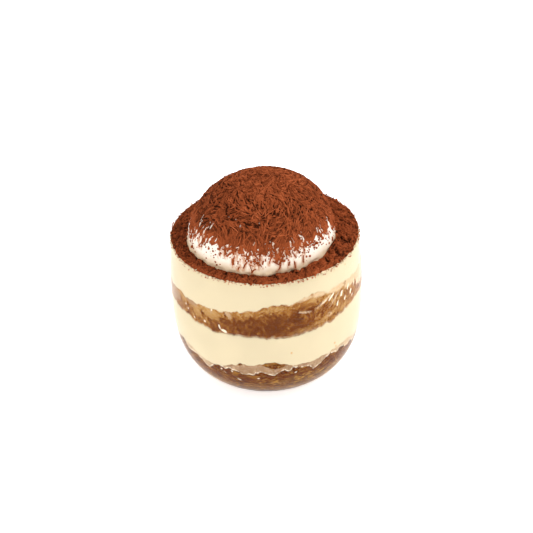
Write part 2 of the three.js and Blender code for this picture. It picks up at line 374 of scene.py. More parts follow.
class Paint:
    """One material and its nodes."""

    def __init__(self, name):
        self.material = bpy.data.materials.new(name)
        self.material.use_nodes = True
        self.tree = self.material.node_tree
        self.tree.nodes.clear()
        self.coordinates = self.node("ShaderNodeTexCoord").outputs["Object"]

    def node(self, kind, settings=None, sockets=None):
        """Adds a node: its settings first, then the values or links of its sockets."""
        made = self.tree.nodes.new(kind)
        for key, value in (settings or {}).items():
            if key == "stops":
                for _ in value[2:]:
                    made.color_ramp.elements.new(0.5)
                for element, (place, shade) in zip(made.color_ramp.elements, value):
                    element.position = place
                    element.color = (*shade, 1)
            else:
                setattr(made, key, value)
        for key, value in (sockets or {}).items():
            if isinstance(value, Number):
                value = value.socket
            if isinstance(value, bpy.types.NodeSocket):
                self.tree.links.new(value, made.inputs[key])
            elif isinstance(value, tuple) and made.inputs[key].type == "RGBA":
                made.inputs[key].default_value = (*value, 1)
            else:
                made.inputs[key].default_value = value
        return made

    def math(self, operation, first, second):
        made = self.node("ShaderNodeMath", {"operation": operation}, {0: first, 1: second})
        return Number(self, made.outputs[0])

    def attribute(self, name):
        return Number(self, self.node("ShaderNodeAttribute", {"attribute_name": name}).outputs["Fac"])

    def stretched(self, across, up):
        """The object's coordinates counted in lumps of that width and height."""
        made = self.node(
            "ShaderNodeMapping",
            {"vector_type": "POINT"},
            {"Vector": self.coordinates, "Scale": (1 / across, 1 / across, 1 / up)},
        )
        return made.outputs[0]

    def noise(self, size, detail=3, roughness=0.5, distortion=0, vector=None):
        """Noise from 0 to 1. size is in metres, or 1 with a stretched vector."""
        made = self.node(
            "ShaderNodeTexNoise",
            None,
            {
                "Vector": vector or self.coordinates,
                "Scale": 1 / size,
                "Detail": detail,
                "Roughness": roughness,
                "Distortion": distortion,
            },
        )
        return Number(self, made.outputs["Fac"])

    def cells(self, size):
        """Distance to the middle of the nearest cell, in cells, and a random number for the cell."""
        made = self.node("ShaderNodeTexVoronoi", None, {"Vector": self.coordinates, "Scale": 1 / size})
        channels = self.node("ShaderNodeSeparateColor", None, {"Color": made.outputs["Color"]})
        return Number(self, made.outputs["Distance"]), Number(self, channels.outputs[0])

    def mix(self, first, second, share):
        """Two colours mixed."""
        made = self.node("ShaderNodeMix", {"data_type": "RGBA"}, {0: share, 6: first, 7: second})
        return made.outputs[2]

    def ramp(self, share, *stops):
        """A colour for each share from 0 to 1."""
        return self.node("ShaderNodeValToRGB", {"stops": stops}, {"Fac": share}).outputs["Color"]

    def bump(self, height, depth, strength):
        """A normal from a height of 0 to 1 that stands for that depth."""
        made = self.node("ShaderNodeBump", None, {"Height": height, "Distance": depth, "Strength": strength})
        return made.outputs["Normal"]

    def surface(self, **sockets):
        """The Principled shader, with socket names written with underscores, as the material's surface."""
        named = {key.replace("_", " "): value for key, value in sockets.items()}
        shader = self.node("ShaderNodeBsdfPrincipled", None, named)
        self.show(shader.outputs["BSDF"])
        return shader.outputs["BSDF"]

    def show(self, shader):
        output = self.tree.nodes.get("Material Output") or self.node("ShaderNodeOutputMaterial")
        output.name = "Material Output"
        self.tree.links.new(shader, output.inputs["Surface"])


def glass_paint(settings):
    """Clear glass. Rays from lamps go straight through it, so that the food inside is lit."""
    paint = Paint("clear glass")
    tint = tuple(settings.tint)
    glass = paint.surface(Base_Color=tint, Roughness=0.0, IOR=settings.bending, Transmission_Weight=1.0)
    clear = paint.node("ShaderNodeBsdfTransparent", None, {"Color": tint})
    rays = paint.node("ShaderNodeLightPath")
    both = paint.node(
        "ShaderNodeMixShader", None, {0: rays.outputs["Is Shadow Ray"], 1: glass, 2: clear.outputs[0]}
    )
    paint.show(both.outputs[0])
    return paint.material


def cream_paint(settings):
    """Smooth mascarpone cream with a few tiny golden specks."""
    paint = Paint("mascarpone")
    cream = tuple(settings.cream)
    cloud = paint.noise(14 * MM, 2)
    body = paint.mix(tuple(channel * 0.95 for channel in cream), cream, cloud.between(0.3, 0.65))
    distance, chance = paint.cells(5.5 * MM)
    speck = distance.between(0.12, 0.06) * chance.between(0.62, 0.64)
    body = paint.mix(body, tuple(settings.speck), speck * 0.85)
    paint.surface(Base_Color=body, Roughness=0.5, Specular_IOR_Level=0.1)
    return paint.material


def sponge_body(paint, settings):
    """The colour of soaked crumb: soft blotches and strands, with golden crust on it."""
    tone = paint.attribute("tone")
    blotch = paint.noise(5.5 * MM, 3, 0.55, 0.6)
    crumb = paint.noise(1.5 * MM, 4, 0.6, 0.8)
    fine = paint.noise(0.5 * MM, 2, 0.6)
    level = tone + (blotch - 0.5) * 0.5 + (crumb - 0.5) * 0.35 + (fine - 0.5) * 0.3
    body = paint.ramp(
        level.within(),
        (0.16, tuple(settings.sponge_dark)),
        (0.42, tuple(settings.sponge_middle)),
        (0.66, tuple(settings.sponge_light)),
        (0.92, tuple(settings.sponge_gold)),
    )
    cool = paint.noise(4.5 * MM, 3, 0.6, 0.4).between(0.58, 0.7)
    body = paint.mix(body, tuple(settings.sponge_grey), cool * 0.15)
    crust = (paint.attribute("gold") + (crumb - 0.5) * 2.6 + (blotch - 0.5) * 1.6).between(-0.3, 1.0)
    dry = (tone + crumb - 0.4).within()
    golden = paint.mix(tuple(settings.sponge_light), tuple(settings.sponge_gold), dry)
    return paint.mix(body, golden, crust * 0.85), crumb, fine


def covered(paint, settings, body, smear, crumb, fine, thick):
    """The film of cream and the thick flecks laid over the crumb."""
    veil = (paint.attribute("film") + (crumb - 0.5) * 2 + (fine - 0.5) * 0.6).between(-0.4, 0.7)
    streaks = paint.noise(2.4 * MM, 3, 0.6, 1.2).between(0.3, 0.75)
    body = paint.mix(body, smear, veil * (streaks * (0.95 - thick) + thick))
    fleck = (paint.attribute("fleck") + (crumb - 0.5) * 0.7 + (fine - 0.5) * 0.35).between(-0.02, 0.14)
    return paint.mix(body, tuple(settings.thick_smear), fleck)


def sponge_surface(paint, body, crumb):
    relief = paint.bump(crumb, 0.2 * MM, 0.4)
    paint.surface(Base_Color=body, Roughness=0.6, Specular_IOR_Level=0.05, Normal=relief)
    return paint.material


def middle_sponge_paint(settings):
    """Coffee-soaked sponge behind glass, with films of cream at its ends and cream smeared on its edges."""
    paint = Paint("coffee sponge")
    share = paint.attribute("share")
    body, crumb, fine = sponge_body(paint, settings)
    brim = (share + (crumb - 0.5) * 0.1).between(0.95, 1.0)
    sole = (share + (crumb - 0.5) * 0.2).between(0.09, 0.0)
    body = paint.mix(body, tuple(settings.smear), brim * 0.55 + sole * 0.45)
    smear = paint.mix(tuple(settings.dull_smear), tuple(settings.smear), paint.attribute("pale"))
    body = covered(paint, settings, body, smear, crumb, fine, 0.7)
    return sponge_surface(paint, body, crumb)


def bottom_sponge_paint(settings):
    """Darker sponge, with a ragged band of cream film below its top and streaks in the curve of the glass."""
    paint = Paint("soaked sponge")
    body, crumb, fine = sponge_body(paint, settings)
    streak = paint.noise(1, 3, 0.6, 0.6, paint.stretched(6 * MM, 0.9 * MM))
    low = (paint.attribute("base") + (streak - 0.5) * 8 + (crumb - 0.5) * 2).between(0.9, -1.1)
    base = paint.mix(
        tuple(settings.sponge_middle), tuple(settings.soaked_base), streak.between(0.34, 0.56)
    )
    body = paint.mix(body, base, low * 0.75)
    pale = paint.attribute("pale")
    # Painted light: less of the soaked colour at the sides, where pale is high.
    body = paint.mix(body, tuple(settings.soaked), 0.66 - pale * 0.42)
    wisps = paint.noise(1, 3, 0.6, 1.0, paint.stretched(3.2 * MM, 1.1 * MM))
    body = paint.mix(
        body, tuple(settings.soaked_streak), wisps.between(0.53, 0.62) * (0.5 + low * 0.4)
    )
    body = paint.mix(body, tuple(settings.soaked_crack), wisps.between(0.46, 0.38) * 0.75)
    drips = paint.noise(1, 3, 0.6, 0.8, paint.stretched(1.5 * MM, 4 * MM))
    # Painted light: the film is whiter towards the sides, where pale is high.
    share = (drips.between(0.42, 0.72) * 0.7 + pale).within()
    smear = paint.mix(tuple(settings.dull_smear), tuple(settings.smear), share)
    body = covered(paint, settings, body, smear, crumb, fine, 0.6)
    hanging = paint.attribute("drip") + (crumb - 0.5) * 0.9
    line = hanging.between(-0.1, 0.1) * hanging.between(0.85, 0.35) * drips.between(0.4, 0.54)
    body = paint.mix(body, tuple(settings.thick_smear), line * 0.85)
    return sponge_surface(paint, body, crumb)


def whipped_paint(settings):
    """Whipped cream: white under the cocoa, darker and warmer at its foot with painted shade from the bed,
    with smudges of cocoa near the hem.
    """
    paint = Paint("whipped cream")
    below = paint.attribute("below")
    # Painted shade: the cream darkens towards its foot, where the bed shades it.
    foot = (paint.attribute("rise") + (paint.noise(5 * MM, 2) - 0.5) * 3).between(6.5, 1)
    body = paint.mix(tuple(settings.cream), tuple(settings.foot_cream), foot)
    streak = paint.noise(1, 4, 0.6, 0.3, paint.stretched(1.1 * MM, 2.6 * MM))
    stain = (streak - below * 0.035).between(0.5, 0.66) * 0.4
    stain = stain + paint.attribute("dust") * streak.between(0.34, 0.58) * 1.2
    body = paint.mix(body, tuple(settings.stain), stain.within() * 0.85)
    grain = paint.noise(1.1 * MM, 3)
    paint.surface(
        Base_Color=body, Roughness=0.6, Specular_IOR_Level=0.15, Normal=paint.bump(grain, 0.12 * MM, 0.5)
    )
    return paint.material


def cocoa_paint(name, settings):
    """Dry cocoa. The attribute tone, 0 to 1, says how light each spot is; it carries painted shade in
    crevices and pits and painted light on faces that catch it.
    """
    paint = Paint(name)
    tone = paint.attribute("tone")
    powder = paint.noise(0.45 * MM, 3, 0.7)
    patch = paint.noise(5 * MM, 3, 0.6)
    level = tone + (powder - 0.5) * 0.4 + (patch - 0.5) * 0.35
    body = paint.ramp(
        level.within(),
        (0.1, tuple(settings.dark)),
        (0.48, tuple(settings.middle)),
        (0.9, tuple(settings.light)),
    )
    paint.surface(
        Base_Color=body, Roughness=0.95, Specular_IOR_Level=0.03, Normal=paint.bump(powder, 0.14 * MM, 0.7)
    )
    return paint.material


# ---------------------------------------------------------------- strokes


class Strokes:
    """Short bowed strokes on a surface: fibres, crumbs, slits or pits. Each has a row in every array."""

    def __init__(self, spot, outward, along, across, length, width, bow):
        self.spot = spot
        self.outward = outward
        self.along = along
        self.across = across
        self.half_length = length / 2
        self.half_width = width / 2
        self.bow = bow


class Surface:
    """Points that strokes are laid on. Each has a level above the bare surface, and a tone, 0 for dark."""

    rounding = 0.3 * MM  # how far a stroke falls away from its middle to its edge

    def __init__(self, rows, level, tone):
        self.rows = rows
        self.level = np.array(level, float)
        self.tone = np.array(tone, float)
        self.tree = KDTree(len(rows))
        for index, row in enumerate(rows):
            self.tree.insert(row, index)
        self.tree.balance()

    def under(self, strokes):
        """For each stroke: its number, the points under it, and how near its edge they are, from 0 to 1."""
        for number, spot in enumerate(strokes.spot):
            half_length = strokes.half_length[number]
            half_width = strokes.half_width[number]
            found = self.tree.find_range(spot, half_length + half_width)
            near = np.array([match[1] for match in found], int)
            away = self.rows[near] - spot
            run = away @ strokes.along[number] / half_length
            bowed = away @ strokes.across[number] - strokes.bow[number] * half_length * (run**2 - 0.3)
            edge = np.hypot(bowed / half_width, run**3)
            yield number, near[edge < 1], edge[edge < 1]

    def lay(self, strokes, level, tone, shade=0.3):
        """Lays strokes at their levels. A point shows the highest, which the shade darkens at its edge."""
        for number, near, edge in self.under(strokes):
            top = level[number] - self.rounding * edge**2
            above = top > self.level[near]
            self.level[near[above]] = top[above]
            self.tone[near[above]] = tone[number] - shade * edge[above] ** 3

    def cut(self, strokes, level, tone):
        """Cuts slits and pits down to a level, with a tone at their bottom."""
        for _, near, edge in self.under(strokes):
            depth = 1 - edge**2
            self.level[near] -= np.clip(self.level[near] - level, 0, None) * depth
            self.tone[near] += (tone - self.tone[near]) * depth

    def level_at(self, spots):
        return self.level[[self.tree.find(spot)[1] for spot in spots]]


def turned(first, second, angle):
    """Directions between two square ones, turned from the first towards the second by an angle."""
    return first * np.cos(angle)[:, None] + second * np.sin(angle)[:, None]


def loose_bits(name, strokes, lift, twist, tone, paint, slot):
    """Real shreds: flattened bars with blunt ends, one for each stroke and lifted off the surface."""
    bar = add("bar", bpy.ops.mesh.primitive_cylinder_add, vertices=5, radius=1, depth=1, end_fill_type="NGON")
    select_upright(bar)
    bpy.ops.mesh.subdivide(number_cuts=2)
    edit(False)
    model = points(bar)
    reach = 2 * model[:, 2]
    blunt = np.sqrt(1 - BIT_TAPER * np.abs(reach) ** 3)
    run = strokes.half_length[:, None] * reach
    bowed = (strokes.bow * strokes.half_length)[:, None] * (reach**2 - 0.3)
    side = strokes.half_width[:, None] * model[:, 0] * blunt + bowed
    high = lift[:, None] + strokes.half_width[:, None] * model[:, 1] * blunt * BIT_FLATNESS
    high = high + twist[:, None] * run
    upright = np.cross(strokes.along, strokes.across)
    upright *= np.sign(np.sum(upright * strokes.outward, axis=1))[:, None]
    places = strokes.spot[:, None] + strokes.along[:, None] * run[..., None]
    places = places + strokes.across[:, None] * side[..., None] + upright[:, None] * high[..., None]
    bits = joined_copies(name, bar, places)
    # Each shred is painted lighter on its upper side and darker on its lower: painted light and shade.
    mark(bits, "tone", (tone[:, None] + 0.16 * model[:, 1]).ravel())
    finish_piece(bits, paint, slot)


def loose_grains(name, spot, size, tone, knobbly, draw, paint, slot):
    """Knobbly grains, each an uneven ball of twenty faces."""
    grain = add("grain", bpy.ops.mesh.primitive_ico_sphere_add, subdivisions=1, radius=1)
    model = points(grain)
    count = len(spot)
    knobs = 1 + knobbly * draw.uniform(-1, 1, (count, len(model), 1))
    squash = draw.uniform(0.7, 1.15, (count, 1, 3))
    grains = joined_copies(name, grain, spot[:, None] + model * knobs * squash * size[:, None, None])
    mark(grains, "tone", np.repeat(tone, len(model)))
    finish_piece(grains, paint, slot)


# ---------------------------------------------------------------- the glass


def wall_radius(settings, height, inset, depth):
    """Radius of a wall of the glass at a height, inset from the outside, over a bottom of that depth."""
    height = np.asarray(height, float)
    belly = GLASS_HIGH.x - inset
    rise = np.clip((height - settings.belly_height) / (GLASS_HIGH.z - settings.belly_height), 0, None)
    fall = np.clip((settings.belly_height - height) / depth, 0, 1)
    return (belly - settings.rim_taper * rise**2) * (1 - fall**BOWL_POWER) ** (1 / BOWL_POWER)


def glass_outline(settings):
    """Half of the glass's section, from the middle of the foot, up the outside and down to the floor."""
    round_off = settings.wall / 2
    outline = [(0.0, settings.push_up_depth)]
    for share in (0.4, 0.7, 0.9, 1.0):
        outline.append((settings.push_up_radius * share, settings.push_up_depth * (1 - share**4)))
    outline.append((settings.foot_radius, 0.0))
    outline.append((settings.foot_radius + 1.1 * MM, 0.15 * MM))
    top = GLASS_HIGH.z - round_off
    for share in np.linspace(0, 1, 44) ** 1.8:
        height = FOOT_EDGE + (top - FOOT_EDGE) * share
        outline.append((float(wall_radius(settings, height, 0, settings.bowl_depth)), height))
    middle = outline[-1][0] - round_off
    for turn in np.linspace(0, math.pi, 9)[1:-1]:
        outline.append((middle + round_off * math.cos(turn), top + round_off * math.sin(turn)))
    for share in np.linspace(1, 0, 36) ** 1.8:
        height = settings.floor_height + (top - settings.floor_height) * share
        outline.append((float(wall_radius(settings, height, settings.wall, settings.floor_depth)), height))
    outline.append((outline[-1][0] * 0.6, settings.floor_height - 0.05 * MM))
    outline.append((0.0, settings.floor_height - 0.1 * MM))
    return outline


class TIRAMISU_OT_glass(bpy.types.Operator):
    """Draw the glass's section by extruding a point, and spin it"""

    bl_idname = "tiramisu.glass"
    bl_label = "Glass"

    def execute(self, context):
        settings = context.scene.tiramisu_glass
        outline = glass_outline(settings)
        glass = add("glass_wall", bpy.ops.mesh.primitive_plane_add, size=MM, location=(0, 0, outline[0][1]))
        bpy.ops.object.transform_apply(location=True, rotation=True, scale=True)
        edit(True)
        bpy.ops.mesh.merge(type="CENTER")
        for before, after in zip(outline, outline[1:]):
            step = (after[0] - before[0], 0, after[1] - before[1])
            bpy.ops.mesh.extrude_region_move(TRANSFORM_OT_translate={"value": step})
        bpy.ops.mesh.select_all(action="SELECT")
        bpy.ops.mesh.spin(steps=settings.sides, angle=2 * math.pi, center=(0, 0, 0), axis=(0, 0, 1))
        edit(False)
        close_up()
        finish_piece(glass, glass_paint(settings), "clear_glass", "glass_cup")
        return {"FINISHED"}


# ---------------------------------------------------------------- the layers


def edge_heights(edge, bearing):
    """Height where two layers meet at the glass. Edge 0 is the lowest."""
    if edge == 0:
        height = 23.6 + 3.2 * hill(bearing, 2, 11) + 1.6 * hill(bearing, -17, 7)
        height -= 2.8 * hill(bearing, -38, 12)
        height += 1.3 * hill(bearing, -64, 11) + 1.3 * hill(bearing, 46, 12) - 1.6 * hill(bearing, 150, 40)
        return height * MM
    if edge == 1:
        height = 40 - 0.9 * hill(bearing, 8, 16) + 3 * hill(bearing, 68, 20) + 1.3 * hill(bearing, -65, 18)
        return (height + 1.4 * hill(bearing, 190, 35)) * MM
    height = 52.6 + 3.2 * np.sin(np.radians(bearing)) + 2.4 * hill(bearing, 16, 24) + hill(bearing, 0, 6)
    height += 1.2 * hill(bearing, 30, 8) - 0.9 * hill(bearing, 62, 12) + 1.2 * hill(bearing, 200, 30)
    return height * MM


def ragged_edge(edge, bearing):
    """The same, with the crumbs that stick out along it."""
    wall = polar(GLASS_HIGH.x, bearing, 20 * MM * edge)
    crumbs = 0.7 * noise(wall, 5 * MM, edge) + 0.7 * noise(wall, 1.9 * MM, edge + 7)
    return edge_heights(edge, bearing) + (crumbs + 0.42 * noise(wall, 0.8 * MM, edge + 11)) * MM


def wall_point(glass, index, bearing, share):
    """Points on a layer's side, pressed into the wall. share is 0 at its lower edge and 1 at its upper."""
    low = glass.floor_height - glass.reach if index == 0 else ragged_edge(index - 1, bearing)
    high = FILL if index == 3 else ragged_edge(index, bearing)
    height = low + (high - low) * share
    reach = glass.reach * smooth(height, FILL - 0.05 * MM, FILL - 0.5 * MM)
    radius = wall_radius(glass, height, glass.wall, glass.floor_depth + glass.reach) + reach
    return polar(radius, bearing, height)


def press_drum(context, name, index, rows):
    """A drum cut into rows and pressed out to the glass. Returns it with each point's bearing and share."""
    glass = context.scene.tiramisu_glass
    sides = context.scene.tiramisu_layers.sides
    drum = add(
        name, bpy.ops.mesh.primitive_cylinder_add, vertices=sides, radius=1, depth=1, end_fill_type="TRIFAN"
    )
    select_upright(drum)
    bpy.ops.mesh.subdivide(number_cuts=rows - 1)
    edit(False)
    cage = points(drum)
    bearing = bearing_of(cage)
    share = cage[:, 2] + 0.5
    pressed = wall_point(glass, index, bearing, share)
    on_axis = np.hypot(cage[:, 0], cage[:, 1]) < 0.5
    for end in (0, 1):
        middle = on_axis & (np.abs(share - end) < 0.5)
        brim = ~on_axis & (np.abs(share - end) < 0.01)
        pressed[middle] = (0, 0, pressed[brim, 2].mean())
    move(drum, pressed)
    return drum, bearing, share, ~on_axis


# Marks on a sponge's side: bearing and height of the middle, half length, half height, and slope in
# degrees. Sizes are in millimetres. Films are thin cream, flecks thick cream, and crusts golden crumb.
# The ring is a loop of thin cream.
# Pits are holes, painted dark inside as shade.
MIDDLE_RING = [(38.9, 44.3, 1.3, 1.05, 0)]
MIDDLE_FILMS = [
    (-77, 46.5, 7.5, 6.0, 0),
    (-52, 48.9, 4.5, 1.3, -6),
    (-66, 46.6, 2.2, 2.4, -60),
    (-24, 50.0, 2.4, 1.2, -55),
    (-35, 49.2, 0.6, 1.5, -15),
    (23, 55.8, 5.0, 0.8, 6),
    (34, 56.0, 5.5, 1.5, 0),
    (46, 54.9, 6.0, 1.9, -3),
    (60, 53.4, 5.5, 2.8, 0),
    (74, 52.0, 5.5, 6.0, 0),
    (37, 52.0, 4.6, 0.7, 22),
    (44, 50.4, 3.4, 0.6, 40),
    (22, 49.8, 2.6, 0.5, -12),
    (150, 49.0, 9.0, 1.3, 12),
    (-140, 44.5, 7.0, 1.2, -10),
    (-112, 50.0, 8.0, 1.4, 6),
]
MIDDLE_FLECKS = [
    (-56.5, 46.1, 0.35, 0.6, 0),
    (-54.4, 44.4, 0.42, 0.62, 0),
    (-48.6, 42.0, 0.3, 0.42, 0),
    (-40.3, 42.8, 0.75, 0.4, -30),
    (-34.7, 49.8, 0.3, 0.8, -15),
    (-29.8, 42.6, 0.45, 1.3, 20),
    (-26.6, 41.2, 1.5, 0.7, -20),
    (35.6, 51.4, 1.4, 0.28, 30),
    (41.0, 52.0, 2.0, 0.6, 40),
    (46.0, 47.2, 1.3, 0.55, 62),
    (49.8, 50.6, 1.6, 0.65, 58),
    (53.0, 47.4, 1.2, 0.42, 65),
    (56.6, 51.4, 1.5, 0.6, 60),
    (59.4, 48.0, 1.4, 0.7, 66),
    (64.0, 50.6, 1.9, 0.45, 62),
    (61.0, 45.6, 1.2, 0.4, 50),
    (69.0, 48.6, 1.6, 0.5, 64),
]
MIDDLE_CRUSTS = [
    (-36, 47.6, 5.5, 2.2, -12),
    (-47, 46.4, 4.0, 2.0, -30),
    (-12, 50.6, 3.0, 0.9, 0),
    (4, 53.4, 6.0, 1.5, 3),
    (30, 54.9, 4.6, 1.6, 8),
    (39, 54.6, 2.4, 1.5, 0),
    (36, 43.4, 7.0, 1.3, 14),
    (20, 41.4, 5.0, 1.0, 10),
    (52, 43.8, 4.0, 1.6, 30),
    (120, 47.0, 8.0, 2.6, 8),
    (170, 51.0, 7.0, 1.6, -4),
    (-160, 47.5, 7.0, 2.2, 10),
]
MIDDLE_PITS = [
    (-25.6, 48.9, 0.35, 2.2, 12),
    (-10.3, 45.0, 0.9, 0.6, 0),
    (-17.4, 43.3, 1.0, 0.5, -10),
    (-5.8, 44.7, 0.8, 0.5, 0),
    (17.8, 49.4, 0.5, 2.2, -8),
    (19.6, 47.0, 0.9, 0.5, 0),
    (33.4, 51.2, 0.8, 0.6, 0),
    (-21.0, 40.6, 1.8, 0.5, -8),
]
BOTTOM_FLECKS = [
    (-31.8, 19.4, 0.6, 0.5, 0),
    (-29.4, 17.8, 0.9, 0.25, -50),
    (-24.5, 19.6, 0.7, 0.45, -20),
    (-20.8, 14.8, 1.8, 0.3, -18),
    (-7.5, 17.0, 0.65, 0.45, 0),
    (16.5, 19.3, 0.9, 0.4, 20),
    (150, 17.0, 0.8, 0.4, 0),
    (-120, 16.0, 0.9, 0.3, 20),
]
BOTTOM_CRUSTS = [
    (-18, 26.2, 3.6, 0.8, 10),
    (-56, 24.0, 2.6, 1.2, -50),
    (0, 26.7, 7.5, 1.9, 0),
    (8, 26.4, 3.4, 1.3, -20),
    (56, 23.6, 1.8, 0.8, 40),
    (150, 22.0, 8.0, 1.0, 0),
    (-110, 21.0, 6.0, 1.0, 0),
]
BOTTOM_PITS = [
    (11.9, 25.3, 1.2, 0.55, 0),
    (4.5, 25.6, 2.6, 0.35, 0),
    (-4.0, 25.4, 2.2, 0.3, 0),
    (9.0, 16.4, 0.5, 1.3, 10),
    (-20, 21.9, 1.2, 0.3, 0),
]


def inside_of(marks, bearing, height):
    """How far inside the nearest mark each point is, in millimetres. Outside all marks it is below 0."""
    inside = np.full(len(bearing), -9.0)
    for middle, level, half_length, half_height, slope in marks:
        along = np.radians((bearing - middle + 180) % 360 - 180) * GLASS_HIGH.x / MM
        up = height / MM - level
        turn = math.radians(slope)
        first = (along * math.cos(turn) + up * math.sin(turn)) / half_length
        second = (up * math.cos(turn) - along * math.sin(turn)) / half_height
        inside = np.maximum(inside, (1 - np.hypot(first, second)) * min(half_length, half_height))
    return inside


def scattered_flecks(draw, index):
    """More small flecks of cream, round the sides and the back."""
    low, high = (9, 18) if index == 0 else (41.5, 50.5)
    marks = []
    for bearing in draw.uniform(75, 285, 26):
        size = draw.uniform(0.2, 0.5)
        level = draw.uniform(low, high)
        length = size * draw.uniform(1, 3.4)
        marks.append((bearing, level, length, size, draw.uniform(-70, 70)))
    return marks


def skirt_of_film(bearing, height):
    """The bottom sponge's film of cream: how far each point is above its ragged hem and below its top."""
    wall = polar(GLASS_HIGH.x, bearing, 0)
    upper = edge_heights(0, bearing) / MM + 1.8 - 5.6 * hill(bearing, 3, 8) - 2.2 * hill(bearing, -18, 4)
    upper -= 1.5 * hill(bearing, -50, 15) + 3 * hill(bearing, 78, 12)
    lower = 20.9 - 3.6 * hill(bearing, -43, 4) - 1.4 * hill(bearing, -15, 3) - 1.9 * hill(bearing, 2, 4)
    lower += 0.9 * hill(bearing, 20, 9) - 2.4 * hill(bearing, 29, 3) + 1.6 * hill(bearing, 47, 9)
    lower += 3.2 * smooth(-bearing, 50, 70) - 0.8 * hill(bearing, -4, 12)
    lower += 0.9 * noise(wall, 3 * MM, 61) + 1.1 * noise(wall, 1.5 * MM, 62) + 0.5 * noise(wall, 0.8 * MM, 63)
    return height / MM - lower, upper - height / MM


class TIRAMISU_OT_layers(bpy.types.Operator):
    """Cut a drum into rows for each layer, and press it out to the glass"""

    bl_idname = "tiramisu.layers"
    bl_label = "Layers"

    def execute(self, context):
        settings = context.scene.tiramisu_layers
        cream = cream_paint(settings)
        for name, node, index in (("lower_cream", "cream_lower", 1), ("upper_cream", "cream_upper", 3)):
            drum = press_drum(context, name, index, 30)[0]
            finish_piece(drum, cream, "mascarpone", node)
        self.sponge(context, 2, MIDDLE_FILMS, MIDDLE_FLECKS, MIDDLE_CRUSTS, MIDDLE_PITS)
        self.sponge(context, 0, [], BOTTOM_FLECKS, BOTTOM_CRUSTS, BOTTOM_PITS)
        return {"FINISHED"}

    def sponge(self, context, index, films, flecks, crusts, pits):
        """One sponge, its side built from strands of crumb and marked with cream and golden crust."""
        glass = context.scene.tiramisu_glass
        settings = context.scene.tiramisu_layers
        draw = np.random.default_rng(100 + index)
        name = "middle_sponge" if index else "bottom_sponge"
        drum, bearing, share, on_wall = press_drum(context, name, index, 56)
        rows = points(drum)
        height = rows[:, 2]
        side = Surface(rows[on_wall], np.zeros(on_wall.sum()), 0.3 + 0.1 * rough(rows[on_wall], 3 * MM, 51))
        level, tone = self.crumb(glass, settings.crumbs, side, index, draw)
        dent = np.zeros(len(rows))
        dent[on_wall] = 0.30 * MM - level
        crumb = np.full(len(rows), 0.4)
        crumb[on_wall] = tone
        radius = np.hypot(rows[:, 0], rows[:, 1]) - np.clip(dent, 0, None) * on_wall
        move(drum, polar(radius, bearing, height))
        # Pits are painted dark: painted shade in the holes of the crumb.
        dark = np.clip(inside_of(pits, bearing, height) / 0.3 + 0.4, 0, 1)
        mark(drum, "share", share)
        gold = inside_of(crusts, bearing, height)
        crust_light = 0 if index else 0.3
        lit = crust_light * np.clip(gold + 0.5, 0, 1)
        # The tone carries painted light at the sides and painted shade in the pits and low in the middle of
        # the front.
        mark(drum, "tone", crumb + lit - 0.45 * dark + self.shade(index, bearing, share))
        mark(drum, "gold", gold)
        mark(drum, "fleck", inside_of(flecks + scattered_flecks(draw, index), bearing, height))
        if index:
            ring = inside_of(MIDDLE_RING, bearing, height)
            film = np.maximum(inside_of(films, bearing, height), 0.32 - np.abs(ring - 0.35))
            mark(drum, "pale", smooth(bearing, -50, 10))
            finish_piece(drum, middle_sponge_paint(settings), "coffee_sponge", "sponge_middle")
        else:
            hanging, below = skirt_of_film(bearing, height)
            film = np.minimum(hanging, below)
            mark(drum, "drip", hanging + 9 * (below < 0))
            # Painted light: pale grows towards the sides, where the crumb and its film are painted lighter.
            mark(drum, "pale", smooth(np.abs(bearing), 26, 56))
            base = 13.2 + 3.6 * hill(bearing, 22, 26) - 2.2 * hill(bearing, -30, 20)
            mark(drum, "base", height / MM - base)
            finish_piece(drum, bottom_sponge_paint(settings), "soaked_sponge", "sponge_bottom")
        mark(drum, "film", film)

    def crumb(self, glass, count, side, index, draw):
        """Lays strands of crumb on the side. They lean outwards, the more the further round they are."""
        bearing = draw.uniform(-180, 180, count)
        share = draw.uniform(0, 1, count)
        spot = wall_point(glass, index, bearing, share)
        higher = np.minimum(share + 0.05, 1.0)
        up = wall_point(glass, index, bearing, higher) - wall_point(glass, index, bearing, higher - 0.05)
        up /= np.linalg.norm(up, axis=1)[:, None]
        around = polar(1, bearing + 90, 0)
        lean = 0.75 * np.sin(np.radians(bearing)) + draw.normal(0, 0.75, count)
        if index == 0:
            lean = lean + 0.9 * (share < 0.5)
        strands = Strokes(
            spot,
            np.cross(around, up),
            turned(up, around, lean),
            turned(around, -up, lean),
            draw.uniform(1.2, 4.5, count) * MM,
            draw.uniform(0.45, 1.1, count) * MM,
            draw.normal(0, 0.16, count),
        )
        lift = draw.uniform(0.06, 0.28, count) * MM
        pale = draw.uniform(0, 1, count) < 0.06 + 0.26 * hill(bearing, 50, 26)
        side.lay(strands, lift, 0.46 + draw.normal(0, 0.11, count) + 0.2 * pale, 0.2)
        return side.level, side.tone

    def shade(self, index, bearing, share):
        """How much lighter the soaked crumb is painted than in the middle of the front: lighter at the sides,
        painted light; the middle sponge is also lighter in a crown along its top and darker low in the middle
        of the front, painted shade, and the bottom one darker all over.
        """
        # Painted light at the sides, and painted shade low in the middle of the front of the middle sponge.
        if index == 0:
            return 0.28 * smooth(np.abs(bearing), 25, 60) - 0.24
        sides = 0.16 * smooth(np.abs(bearing + 3), 22, 48)
        crown = smooth(share, 0.55, 0.9) * (0.22 + 0.14 * hill(bearing, -30, 22))
        return sides + crown - 0.06 * hill(bearing, 2, 20) * (1 - smooth(share, 0.5, 0.9))


# ---------------------------------------------------------------- the dome


